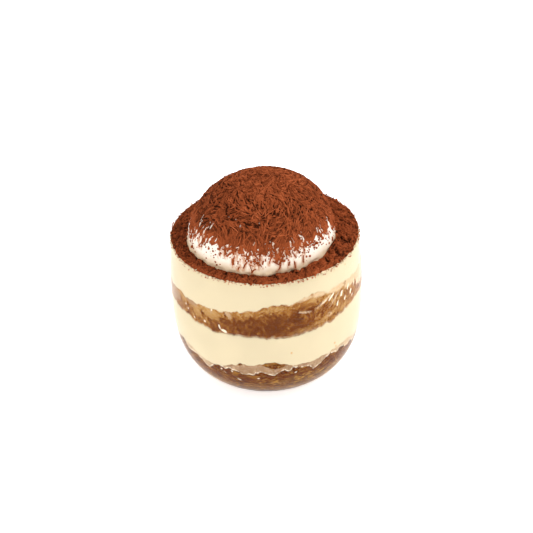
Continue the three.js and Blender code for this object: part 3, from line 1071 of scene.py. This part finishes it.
def dome_shape(settings, quarter, bearing, offset=0):
    """Points of the dome: quarter is 0 at its foot and 1 at its top, and offset lifts them off the cream."""
    radius = (DOME_HIGH.x - DOME_LOW.x) / 2 + offset
    up = np.sin(quarter * math.pi / 2)
    rise = (DOME_HIGH.z - DOME_LOW.z + offset) * up
    tuck = settings.foot * np.clip(1 - rise / settings.foot_height, 0, 1) ** 2
    rows = polar(radius * np.cos(quarter * math.pi / 2) - tuck, bearing, DOME_LOW.z + rise, DOME_CENTRE)
    return rows + settings.lean * up[:, None] ** 2 * np.array([1, 0, 0])


def quarter_at(rise):
    """The quarter of the dome at a height above its foot."""
    return np.arcsin(np.clip(rise / (DOME_HIGH.z - DOME_LOW.z), 0, 1)) / (math.pi / 2)


def quarter_of(rows):
    """How far up a ball of radius 1 each point is: 0 at the equator, 1 at the pole."""
    return np.arcsin(np.clip(rows[:, 2], 0, 1)) / (math.pi / 2)


def dome_ways(rows, bearing):
    """At each point of the dome: the way out, the way round to the right, and the way down."""
    outward = rows - np.array([DOME_CENTRE.x, DOME_CENTRE.y, DOME_LOW.z])
    outward /= np.linalg.norm(outward, axis=1)[:, None]
    around = polar(1, bearing + 90, 0)
    down = np.cross(around, outward)
    down *= np.where(down[:, 2] > 0, -1, 1)[:, None]
    return outward, around, down


def hem_height(hem, bearing):
    """Height of the crust's lower edge above the foot of the dome. It hangs in tongues."""
    turn = np.radians(bearing)
    tongues = 0.55 * np.sin(turn * 7) + 0.45 * np.sin(turn * 13 + 1) + 0.9 * hill(bearing, -4, 10)
    return hem - FILL + (tongues - 2.2 * hill(bearing, 80, 22) - 0.9 * hill(bearing, -70, 18)) * MM


def dome_strokes(context, draw, bearing, rise, swing, length, width, bow=0.2):
    """Strokes on the dome at bearings and heights above its foot. A swing of 0 runs straight down."""
    count = len(bearing)
    spot = dome_shape(context.scene.tiramisu_dome, quarter_at(rise), bearing)
    outward, around, down = dome_ways(spot, bearing)
    return Strokes(
        spot,
        outward,
        turned(down, around, swing),
        turned(around, -down, swing),
        draw.uniform(*length, count) * MM,
        draw.uniform(*width, count) * MM,
        draw.normal(0, bow, count),
    )


def hem_strands(context):
    """The strands of cocoa below the hem. They are the same ones each time this is called."""
    draw = np.random.default_rng(23)
    count = context.scene.tiramisu_cocoa.hem_strands
    bearing = draw.uniform(-180, 180, count)
    chance = noise(polar(HEM_RADIUS, bearing, 0), 7 * MM, 25) - 0.35 + 1.05 * hill(bearing, -4, 30)
    chance = chance - 0.9 * hill(bearing, 46, 18) - 0.3 * hill(bearing, -58, 14)
    bearing = bearing[draw.uniform(-0.7, 0.7, count) < chance]
    below = np.abs(draw.normal(0, 2.4 + 1.5 * hill(bearing, 0, 40))) - 1.4
    rise = hem_height(context.scene.tiramisu_cocoa.hem, bearing) - below * MM
    bearing, rise = bearing[rise > 2.6 * MM], rise[rise > 2.6 * MM]
    swing = draw.normal(0, 0.5, len(bearing))
    return dome_strokes(context, draw, bearing, rise, swing, (1.4, 5.2), (0.4, 0.95))


class TIRAMISU_OT_dome(bpy.types.Operator):
    """Shape half a ball into the dome of whipped cream"""

    bl_idname = "tiramisu.dome"
    bl_label = "Cream dome"

    def execute(self, context):
        settings = context.scene.tiramisu_dome
        dome = add(
            "cream_mound", bpy.ops.mesh.primitive_uv_sphere_add, segments=360, ring_count=200, radius=1
        )
        cut_level(0)
        ball = points(dome)
        bearing = bearing_of(ball)
        shaped = dome_shape(settings, quarter_of(ball), bearing)
        low = shaped[:, 2] - DOME_LOW.z
        scallops = 0.9 * noise(shaped, 3 * MM, 4) + 0.6 * noise(shaped, 1.3 * MM, 6)
        bulge = 0.22 * noise(shaped, 9 * MM, 3) + scallops * smooth(low, 2.8 * MM, 1 * MM)
        bulge += 0.12 * noise(shaped / np.array([1, 1, 2.6]), 2.2 * MM, 5)
        shaped += polar(1, bearing, 0) * (bulge * MM * smooth(low, 24 * MM, 16 * MM))[:, None]
        shaped[:, 2] -= 0.5 * MM * (low < 0.01 * MM)
        move(dome, shaped)
        hem = hem_height(context.scene.tiramisu_cocoa.hem, bearing)
        mark(dome, "below", (hem - low) / MM)
        mark(dome, "rise", low / MM)
        dusted = Surface(shaped, 0 * low, 0 * low)
        smudges = hem_strands(context)
        smudges.half_width = smudges.half_width + 0.7 * MM
        smudges.half_length = smudges.half_length + 1.3 * MM
        even = np.ones(len(smudges.spot))
        dusted.lay(smudges, even * 1.2 * dusted.rounding, even * 0.8, 0.8)
        mark(dome, "dust", dusted.tone)
        finish_piece(dome, whipped_paint(settings), "whipped_cream", "cream_dome")
        return {"FINISHED"}


# ---------------------------------------------------------------- the crust on the dome


def over_dome(draw, count):
    """Bearings and heights spread evenly over the dome."""
    tall = DOME_HIGH.z - DOME_LOW.z
    height = draw.uniform(0.06, 1, count)
    return draw.uniform(-180, 180, count), tall * np.sqrt(1 - (1 - height) ** 1.7)


def thinned(above):
    """The crust's share of its full thickness, by the height above the hem, where it is only a dusting."""
    return 0.3 + 0.7 * smooth(above, 0, 7 * MM)


def swirl(draw, spot, rise):
    """Which way fibres lie: down near the hem and on the steep sides, and in swirls on top."""
    matted = smooth(rise, 10 * MM, 22 * MM)
    flow = 2.4 * noise(spot, 9 * MM, 71) + 1.2 * noise(spot, 4 * MM, 72)
    return flow * (0.4 + 0.6 * matted) + draw.normal(0, 0.45, len(spot))


def crust_painted_shade(bearing, high):
    """Painted shade and light: how much darker the crust is painted on the left and in a belt round it. At
    its top it is painted lighter, and a little on the right.
    """
    belt = smooth(high, 8 * MM, 13 * MM) * smooth(high, 27 * MM, 21 * MM)
    sides = 0.08 * hill(bearing, -75, 38) - 0.03 * hill(bearing, 70, 40)
    return sides + 0.15 * belt - 0.14 * smooth(high, 22 * MM, 27 * MM)


class TIRAMISU_OT_crust(bpy.types.Operator):
    """Mat cocoa fibres on a shell over the dome, with slits, pits and strands along its hem"""

    bl_idname = "tiramisu.crust"
    bl_label = "Cocoa crust"

    bare = -0.5 * MM  # level of the shell where it hides under the cream
    # the two flecks of cream that show high on the front, with their heights on the dome in millimetres
    fleck_bearings = (-40.1, -23.8)
    fleck_rises = (19.7, 18.2)
    # coats of fibres: share of their number, length and width in millimetres, thickness and tone; the fine
    # last coat is lighter, painted highlights on top
    coats = [
        (0.3, (4, 10), (0.9, 1.8), 0.75, 0.5),
        (0.7, (2.6, 8), (0.5, 0.95), 0.9, 0.6),
        (0.15, (2, 6), (0.35, 0.55), 1.0, 0.84),
    ]

    def execute(self, context):
        cocoa = context.scene.tiramisu_cocoa
        dome = context.scene.tiramisu_dome
        draw = np.random.default_rng(7)
        mat = add("cocoa_mat", bpy.ops.mesh.primitive_ico_sphere_add, subdivisions=8, radius=1)
        cut_level(0.07)
        ball = points(mat)
        bearing = bearing_of(ball)
        flat = dome_shape(dome, quarter_of(ball), bearing)
        above = (flat[:, 2] - DOME_LOW.z - hem_height(cocoa.hem, bearing)) / MM
        fray = 0.8 * noise(flat / np.array([1, 1, 2.5]), 1.6 * MM, 21) + 0.6 * noise(flat, 3.6 * MM, 22)
        cover = smooth(above + fray, -0.3, 0.7)
        thick = cocoa.thickness * (0.5 + 0.16 * noise(flat, 3.4 * MM, 31)) * thinned(above * MM)
        level = self.bare + (thick - self.bare) * cover
        surface = Surface(flat, level, 0.2 + 0.14 * rough(flat, 1.6 * MM, 32))
        self.mat_down(context, surface, draw)
        outward = dome_ways(flat, bearing)[0]
        move(mat, flat + outward * surface.level[:, None])
        hemmed = smooth(above, 8, 5) * smooth(surface.level, 0.45 * MM, 0.2 * MM)
        # Painted shade: the crust is darkened on the left and round its middle, and lightened at its top.
        painted_shade = crust_painted_shade(bearing, flat[:, 2] - DOME_LOW.z) * smooth(above, 0, 5)
        mark(mat, "tone", surface.tone + np.clip(0.46 - surface.tone, 0, 1) * hemmed - painted_shade)
        paint = cocoa_paint("cocoa crust", cocoa)
        finish_piece(mat, paint, "cocoa_crust", "cocoa_crust")
        self.shreds(context, surface, draw, paint)
        self.specks(context, draw)
        return {"FINISHED"}

    def mat_down(self, context, surface, draw):
        """Fibres all over, then slits and pits in them, then strands across the slits and below the hem."""
        cocoa = context.scene.tiramisu_cocoa
        for share, length, width, lift, tone in self.coats:
            bearing, rise = over_dome(draw, int(cocoa.fibres * share))
            above = rise - hem_height(cocoa.hem, bearing)
            keep = above > draw.uniform(-0.2, 1.2, len(rise)) * MM
            bearing, rise, above = bearing[keep], rise[keep], above[keep]
            spot = dome_shape(context.scene.tiramisu_dome, quarter_at(rise), bearing)
            swing = swirl(draw, spot, rise)
            fibres = dome_strokes(context, draw, bearing, rise, swing, length, width)
            thick = cocoa.thickness * (lift + draw.uniform(-0.3, 0.3, len(bearing))) * thinned(above)
            surface.lay(fibres, thick, tone + draw.normal(0, 0.09, len(bearing)), 0.42)
        self.pits(context, surface, draw)
        self.slits(context, surface, draw)
        self.strands(context, surface, draw)

    def pits(self, context, surface, draw):
        """Small round holes, painted dark inside as shade, and longer gaps between the fibres, painted dark
        as shade.
        """
        cocoa = context.scene.tiramisu_cocoa
        bearing, rise = over_dome(draw, cocoa.pits)
        keep = rise > 12 * MM
        bearing, rise = bearing[keep], rise[keep]
        swing = draw.uniform(-1.5, 1.5, len(rise))
        holes = dome_strokes(context, draw, bearing, rise, swing, (0.7, 1.5), (0.65, 1.0), 0)
        surface.cut(holes, 0.08 * MM, -0.1)
        bearing, rise = over_dome(draw, cocoa.gaps)
        keep = rise > 9 * MM
        bearing, rise = bearing[keep], rise[keep]
        swing = swirl(draw, dome_shape(context.scene.tiramisu_dome, quarter_at(rise), bearing), rise)
        gaps = dome_strokes(context, draw, bearing, rise, swing, (2, 4.5), (0.45, 0.7), 0.2)
        surface.cut(gaps, 0.15 * MM, 0.05)

    def slits(self, context, surface, draw):
        """Slits where the cream shows white through the cocoa, most of them in clumps along the hem."""
        cocoa = context.scene.tiramisu_cocoa
        bearing = draw.uniform(-180, 180, cocoa.slits)
        hem = hem_height(cocoa.hem, bearing)
        wall = polar(HEM_RADIUS, bearing, 0)
        clump = noise(wall, 8 * MM, 23) + 0.5 * noise(wall, 3 * MM, 24)
        above = np.abs(draw.normal(0, 2.0, len(bearing))) * (1 + 0.8 * clump)
        keep = draw.uniform(-0.4, 0.8, len(bearing)) < clump
        bearing, rise = bearing[keep], (hem + above * MM)[keep]
        swing = draw.normal(0, 0.4, len(bearing))
        slits = dome_strokes(context, draw, bearing, rise, swing, (1.6, 4.6), (0.5, 0.9), 0.1)
        surface.cut(slits, self.bare, 0.5)
        bearing = np.append(draw.uniform(-180, 180, 14), self.fleck_bearings)
        rise = np.append(draw.uniform(11, 20, 14), self.fleck_rises) * MM
        swing = draw.uniform(-1, 1, len(rise))
        flecks = dome_strokes(context, draw, bearing, rise, swing, (0.7, 1.3), (0.6, 0.9), 0)
        surface.cut(flecks, self.bare, 0.5)

    def strands(self, context, surface, draw):
        """Strands that hang below the hem over the bare cream."""
        strands = hem_strands(context)
        count = len(strands.spot)
        lift = draw.uniform(0.16, 0.42, count) * MM
        surface.lay(strands, lift, 0.46 + draw.normal(0, 0.12, count), 0.06)

    def shreds(self, context, surface, draw, paint):
        """Loose shreds on top, which break up the outline."""
        cocoa = context.scene.tiramisu_cocoa
        bearing, rise = over_dome(draw, cocoa.shreds)
        keep = rise - hem_height(cocoa.hem, bearing) > draw.uniform(-0.5, 2.5, len(rise)) * MM
        bearing, rise = bearing[keep], rise[keep]
        spot = dome_shape(context.scene.tiramisu_dome, quarter_at(rise), bearing)
        swing = swirl(draw, spot, rise)
        shreds = dome_strokes(context, draw, bearing, rise, swing, (2.0, 5.5), (0.28, 0.5), 0.25)
        count = len(bearing)
        lift = surface.level_at(spot) + draw.uniform(-0.1, 0.06, count) * MM
        twist = draw.normal(0, 0.03, count)
        # Shreds on the left are painted darker: painted shade.
        tone = 0.52 + draw.normal(0, 0.16, count) - 0.08 * hill(bearing, -75, 38)
        loose_bits("cocoa_shreds", shreds, lift, twist, tone, paint, "cocoa_crust")

    def specks(self, context, draw):
        """Round specks of cocoa on the bare cream."""
        cocoa = context.scene.tiramisu_cocoa
        bearing = draw.uniform(-180, 180, cocoa.specks)
        rise = hem_height(cocoa.hem, bearing) - 0.4 * MM - np.abs(draw.normal(0, 3, len(bearing))) * MM
        keep = rise > 1.6 * MM
        bearing, rise = bearing[keep], rise[keep]
        spot = dome_shape(context.scene.tiramisu_dome, quarter_at(rise), bearing, 0.05 * MM)
        size = 0.32 * MM * np.exp(draw.normal(0, 0.42, len(rise)))
        tone = 0.4 + draw.uniform(0, 0.34, len(rise))
        paint = cocoa_paint("cocoa specks", cocoa)
        loose_grains("cocoa_specks", spot, size, tone, 0.15, draw, paint, "cocoa_crust")


# ---------------------------------------------------------------- the cocoa bed


def dome_foot_at(bearing, clearance):
    """Distance from the glass's axis to the foot of the dome along a bearing."""
    turn = np.radians(bearing)
    radius = (DOME_HIGH.x - DOME_LOW.x) / 2 + clearance
    toward = DOME_CENTRE.x * np.sin(turn) - DOME_CENTRE.y * np.cos(turn)
    return toward + np.sqrt(radius**2 - DOME_CENTRE.x**2 - DOME_CENTRE.y**2 + toward**2)


def bed_height(cocoa, bearing, outward, rows):
    """Height of the bed's surface above the fill. outward is 0 at the dome and 1 at the rim."""
    heap = 0.1 + 0.7 * hill(bearing, 85, 40)
    crown = smooth(outward, 1.03, 0.62) * (0.6 + 0.4 * smooth(outward, 0, 0.4))
    edge = smooth(outward, 1.02, 0.86)
    lumps = 0.2 * noise(rows, 3.4 * MM, 41) + 0.08 * noise(rows, 1.3 * MM, 42)
    lumps += 0.5 * smooth(outward, 0.22, 0.02) - 0.35 * hill(bearing, 180, 80)
    flat = cocoa.bed_thickness * (0.3 + 0.25 * edge) + cocoa.bed_heap * heap * crown
    return flat + lumps * MM * (0.4 + 0.6 * edge)


def bed_lie(draw, bearing, spread):
    """Which way fibres lie on the bed: outwards, and swept towards the front at the sides."""
    return draw.normal(-0.8 * np.sin(np.radians(bearing)), spread)


def bed_dusk(bearing):
    """How much darker the bed is where the dome shades it, on the left and at the back."""
    return 0.17 * hill(bearing, -90, 45) + 0.12 * hill(bearing, 180, 60)


class TIRAMISU_OT_bed(bpy.types.Operator):
    """Press a ring into the cocoa round the dome, and pile flakes, fibres, shavings and grains on it"""

    bl_idname = "tiramisu.bed"
    bl_label = "Cocoa bed"

    top_share = 0.8  # share of the ring's section that is on top
    # big folds on the right and cracks beside them: bearing, share of the way out, turn, length and
    # width in millimetres
    folds = [
        (63, 0.5, -0.4, 10, 5),
        (47, 0.5, -0.45, 7.5, 2.6),
        (40, 0.5, -0.4, 6.5, 2.2),
        (84, 0.5, -0.9, 10, 4),
    ]
    cracks = [
        (54.5, 0.5, -0.5, 9, 1.3),
        (43.5, 0.5, -0.45, 6, 0.8),
        (72, 0.45, -0.7, 8, 1.0),
        (96, 0.5, -0.9, 8, 1),
    ]

    def execute(self, context):
        cocoa = context.scene.tiramisu_cocoa
        draw = np.random.default_rng(11)
        ring = add(
            "cocoa_ring",
            bpy.ops.mesh.primitive_torus_add,
            major_segments=1080,
            minor_segments=72,
            major_radius=1,
            minor_radius=0.25,
        )
        cage = points(ring)
        bearing = bearing_of(cage)
        share = (np.arctan2(cage[:, 2], np.hypot(cage[:, 0], cage[:, 1]) - 1) / (2 * math.pi)) % 1
        on_top = share <= self.top_share
        below_share = (share - self.top_share) / (1 - self.top_share)
        outward = np.where(on_top, 1 - share / self.top_share, below_share)
        placed = self.place(context, bearing, outward)
        height = bed_height(cocoa, bearing, outward, placed)
        # The ring's underside, which hangs over the rim in shade, is painted lighter: painted light.
        tone = 0.34 + 0.1 * rough(placed, 1.3 * MM, 42) + 0.3 * ~on_top
        surface = Surface(placed[on_top], height[on_top], tone[on_top])
        self.pile(context, surface, draw)
        height[on_top] = surface.level
        tone[on_top] = surface.tone
        placed[:, 2] += self.on_rim(context, placed, outward, height, on_top | (share > 0.999))
        move(ring, placed)
        mark(ring, "tone", tone)
        paint = cocoa_paint("cocoa bed", cocoa)
        finish_piece(ring, paint, "cocoa_bed", "cocoa_bed")
        self.shavings(context, surface, draw, paint)
        self.grains(context, surface, draw, paint)
        self.dabs(context, draw)
        return {"FINISHED"}

    def dabs(self, context, draw):
        """Dabs of the upper cream that are smeared up over the rim and show below the cocoa."""
        glass = context.scene.tiramisu_glass
        bearing = np.append(draw.uniform(-180, 180, 190), draw.normal(-18, 22, 110))
        count = len(bearing)
        size = draw.uniform(0.4, 0.75, count) * MM
        height = GLASS_HIGH.z - draw.uniform(0.4, 0.95, count) * MM
        spot = polar(self.rim(glass) - size * 0.55, bearing, height)
        paint = cream_paint(context.scene.tiramisu_layers)
        loose_grains("rim_cream", spot, size, np.ones(count), 0.05, draw, paint, "mascarpone")

    def rim(self, glass):
        return wall_radius(glass, GLASS_HIGH.z, 0, glass.bowl_depth)

    def on_rim(self, context, placed, outward, height, upper):
        """Heights of the ring's upper and lower points above the fill, drooping over the rounded rim."""
        glass = context.scene.tiramisu_glass
        half = glass.wall / 2
        past = np.clip(np.hypot(placed[:, 0], placed[:, 1]) - self.rim(glass) + half, 0, half)
        under = np.sqrt(half**2 - past**2) - half - 0.5 * MM * smooth(outward, 0.97, 0.9)
        return np.where(upper, height - 0.5 * MM * smooth(past, 0, half), under - 0.1 * MM)

    def place(self, context, bearing, outward):
        """Points of the bed on the level of the fill."""
        rim = self.rim(context.scene.tiramisu_glass)
        wall = polar(rim, bearing, 0)
        ragged = 0.3 * noise(wall, 1.6 * MM, 44) + 0.22 * noise(wall, 0.8 * MM, 45) - 0.1
        near = dome_foot_at(bearing, -0.9 * MM)
        far = rim + (ragged - 0.7 * hill(bearing, 180, 75)) * MM * smooth(outward, 0.8, 1)
        return polar(near + (far - near) * outward, bearing, FILL)

    def strokes(self, context, draw, bearing, outward, swing, length, width):
        """Strokes on the bed. A swing of 0 runs out from the middle of the glass."""
        count = len(bearing)
        out, around = polar(1, bearing, 0), polar(1, bearing + 90, 0)
        return Strokes(
            self.place(context, bearing, outward),
            np.array([[0, 0, 1]]),
            turned(out, around, swing),
            turned(around, -out, swing),
            draw.uniform(*length, count) * MM,
            draw.uniform(*width, count) * MM,
            draw.normal(0, 0.15, count),
        )

    def marked(self, context, draw, marks):
        """Strokes placed one by one."""
        bearing, outward, swing, length, width = np.transpose(marks)
        strokes = self.strokes(context, draw, bearing, outward, swing, (1, 1), (1, 1))
        strokes.half_length = length * MM / 2
        strokes.half_width = width * MM / 2
        return strokes

    def pile(self, context, surface, draw):
        """Folded flakes on the right, fibres that run outwards all over, and pits between them; the pits and
        the cracks are painted dark as shade.
        """
        cocoa = context.scene.tiramisu_cocoa
        bearing = draw.uniform(-180, 180, cocoa.bed_flakes)
        bearing = bearing[draw.uniform(0, 1, len(bearing)) < 0.05 + hill(bearing, 78, 40)]
        outward = draw.uniform(0.05, 0.95, len(bearing))
        swing = bed_lie(draw, bearing, 0.25)
        flakes = self.strokes(context, draw, bearing, outward, swing, (4, 9), (1.1, 2.6))
        lift = bed_height(cocoa, bearing, outward, flakes.spot) + draw.uniform(0, 0.9, len(bearing)) * MM
        surface.lay(flakes, lift, 0.52 + draw.normal(0, 0.1, len(bearing)), 0.7)
        folds = self.marked(context, draw, self.folds)
        surface.lay(folds, np.full(len(self.folds), 1.6 * MM), np.full(len(self.folds), 0.56), 0.6)
        bearing = draw.uniform(-180, 180, cocoa.bed_fibres)
        bearing = bearing[draw.uniform(0, 1, len(bearing)) > 0.9 * hill(bearing, 72, 40)]
        outward = draw.uniform(0.03, 0.99, len(bearing)) ** 0.9
        swing = bed_lie(draw, bearing, 0.5)
        fibres = self.strokes(context, draw, bearing, outward, swing, (0.8, 3.2), (0.35, 0.75))
        lift = surface.level_at(fibres.spot) + draw.uniform(-0.1, 0.2, len(bearing)) * MM
        surface.lay(fibres, lift, 0.57 + draw.normal(0, 0.13, len(bearing)) - bed_dusk(bearing), 0.42)
        bearing = draw.uniform(-180, 180, cocoa.bed_pits)
        outward = draw.uniform(0.05, 0.92, len(bearing))
        swing = bed_lie(draw, bearing, 0.3)
        pits = self.strokes(context, draw, bearing, outward, swing, (1.4, 4.5), (0.45, 0.75))
        # Pits and cracks are painted dark: painted shade.
        surface.cut(pits, 0.15 * MM, 0.0)
        surface.cut(self.marked(context, draw, self.cracks), 0, -0.2)

    def shavings(self, context, surface, draw, paint):
        """Loose shavings lying on the bed, more of them on the right."""
        bearing = draw.uniform(-180, 180, context.scene.tiramisu_cocoa.shavings)
        bearing = bearing[draw.uniform(0, 1, len(bearing)) < 0.3 + 0.2 * hill(bearing, 85, 45)]
        count = len(bearing)
        outward = draw.uniform(0.1, 0.93, count)
        swing = bed_lie(draw, bearing, 0.4)
        shavings = self.strokes(context, draw, bearing, outward, swing, (1.2, 4.0), (0.3, 0.65))
        lift = surface.level_at(shavings.spot) + draw.uniform(-0.12, 0.1, count) * MM
        tone = 0.52 + draw.normal(0, 0.1, count) - bed_dusk(bearing)
        loose_bits("cocoa_shavings", shavings, lift, draw.normal(0, 0.06, count), tone, paint, "cocoa_bed")

    def grains(self, context, surface, draw, paint):
        """Grains on the bed, and some that have spilt on the rim."""
        count = context.scene.tiramisu_cocoa.grains
        bearing = draw.uniform(-180, 180, count)
        outward = draw.uniform(0.1, 1.0, count) ** 0.7
        spot = self.place(context, bearing, outward)
        size = 0.17 * MM * np.exp(draw.normal(0.2, 0.36, count))
        spot[:, 2] += surface.level_at(spot) + size * 0.3
        glass = context.scene.tiramisu_glass
        spilt = draw.uniform(0, 1, count) < 0.08 + 0.1 * hill(bearing, 10, 50)
        drop = draw.uniform(0, 1, count) ** 2.5 * 1.5 * MM
        over = polar(self.rim(glass) + size * 0.9, bearing, GLASS_HIGH.z - 0.1 * MM - drop)
        spot = np.where(spilt[:, None], over, spot)
        # Grains spilt on the rim are painted lighter: painted light where they sit in shade below the bed's
        # edge.
        tone = 0.56 + draw.normal(0, 0.14, count) - bed_dusk(bearing) * ~spilt + 0.3 * spilt
        loose_grains("cocoa_grains", spot, size, tone, 0.25, draw, paint, "cocoa_bed")


# ---------------------------------------------------------------- the stage


class TIRAMISU_OT_stage(bpy.types.Operator):
    """Set up the camera, the floor and the lights"""

    bl_idname = "tiramisu.stage"
    bl_label = "Stage"

    # name, place and width in metres, and power in watts
    lamps = [
        ("key_lamp", (0.38, 0.04, 0.58), 0.4, 1.5),
        ("front_lamp", (0, -0.62, 0.30), 0.5, 0.1),
        ("right_lamp", (0.64, -0.28, 0.17), 0.5, 0.42),
        ("left_lamp", (-0.64, -0.28, 0.14), 0.5, 1.0),
    ]

    def execute(self, context):
        settings = context.scene.tiramisu_stage
        aim = Vector((settings.aim_across, 0, settings.aim_height))
        away = Vector((0, -math.cos(settings.elevation), math.sin(settings.elevation)))
        tilt = Matrix.Rotation(math.pi / 2 - settings.elevation, 4, "X")
        turn = tilt @ Matrix.Rotation(settings.roll, 4, "Z")
        bpy.ops.object.camera_add(location=aim + away * settings.distance, rotation=turn.to_euler())
        camera = context.object
        camera.name = "camera"
        camera.data.lens = settings.lens
        camera.data.sensor_width = 36
        context.scene.camera = camera
        self.floor(settings)
        for name, place, width, power in self.lamps:
            self.lamp(name, place, width, power)
        world = bpy.data.worlds.new("white studio")
        world.use_nodes = True
        world.node_tree.nodes["Background"].inputs["Color"].default_value = (1, 1, 1, 1)
        world.node_tree.nodes["Background"].inputs["Strength"].default_value = 1.0
        context.scene.world = world
        context.scene.view_settings.view_transform = "Standard"
        return {"FINISHED"}

    def floor(self, settings):
        floor = add("floor", bpy.ops.mesh.primitive_circle_add, vertices=96, radius=4, fill_type="NGON")
        paint = Paint("plain floor")
        glow = {"Emission_Color": (1, 1, 1), "Emission_Strength": settings.floor_glow}
        paint.surface(Base_Color=tuple(settings.floor), Roughness=0.8, Specular_IOR_Level=0.1, **glow)
        floor.data.materials.append(paint.material)

    def lamp(self, name, place, width, power):
        """A square lamp aimed at the middle of the dessert."""
        toward = Vector((0, 0, 0.05)) - Vector(place)
        facing = toward.to_track_quat("-Z", "Y").to_euler()
        bpy.ops.object.light_add(type="AREA", location=place, rotation=facing)
        lamp = bpy.context.object
        lamp.name = name
        lamp.data.size = width
        lamp.data.energy = power


class TIRAMISU_PT_panel(bpy.types.Panel):
    """Lists what the add-on makes, in the order it is made"""

    bl_idname = "TIRAMISU_PT_panel"
    bl_label = "Tiramisu"
    bl_space_type = "VIEW_3D"
    bl_region_type = "UI"
    bl_category = "Tiramisu"

    def draw(self, context):
        for step in STEPS:
            self.layout.operator(step.bl_idname)


SETTINGS = {
    "tiramisu_glass": GlassSettings,
    "tiramisu_layers": LayerSettings,
    "tiramisu_dome": DomeSettings,
    "tiramisu_cocoa": CocoaSettings,
    "tiramisu_stage": StageSettings,
}
STEPS = [
    TIRAMISU_OT_stage,
    TIRAMISU_OT_glass,
    TIRAMISU_OT_layers,
    TIRAMISU_OT_dome,
    TIRAMISU_OT_crust,
    TIRAMISU_OT_bed,
]


def register():
    for kind in [*SETTINGS.values(), *STEPS, TIRAMISU_PT_panel]:
        bpy.utils.register_class(kind)
    for name, kind in SETTINGS.items():
        setattr(bpy.types.Scene, name, PointerProperty(type=kind))


def unregister():
    for name in SETTINGS:
        delattr(bpy.types.Scene, name)
    for kind in reversed([*SETTINGS.values(), *STEPS, TIRAMISU_PT_panel]):
        bpy.utils.unregister_class(kind)


def main():
    register()
    bpy.ops.tiramisu.stage()
    bpy.ops.tiramisu.glass()
    bpy.ops.tiramisu.layers()
    bpy.ops.tiramisu.dome()
    bpy.ops.tiramisu.crust()
    bpy.ops.tiramisu.bed()


if __name__ == "__main__":
    main()
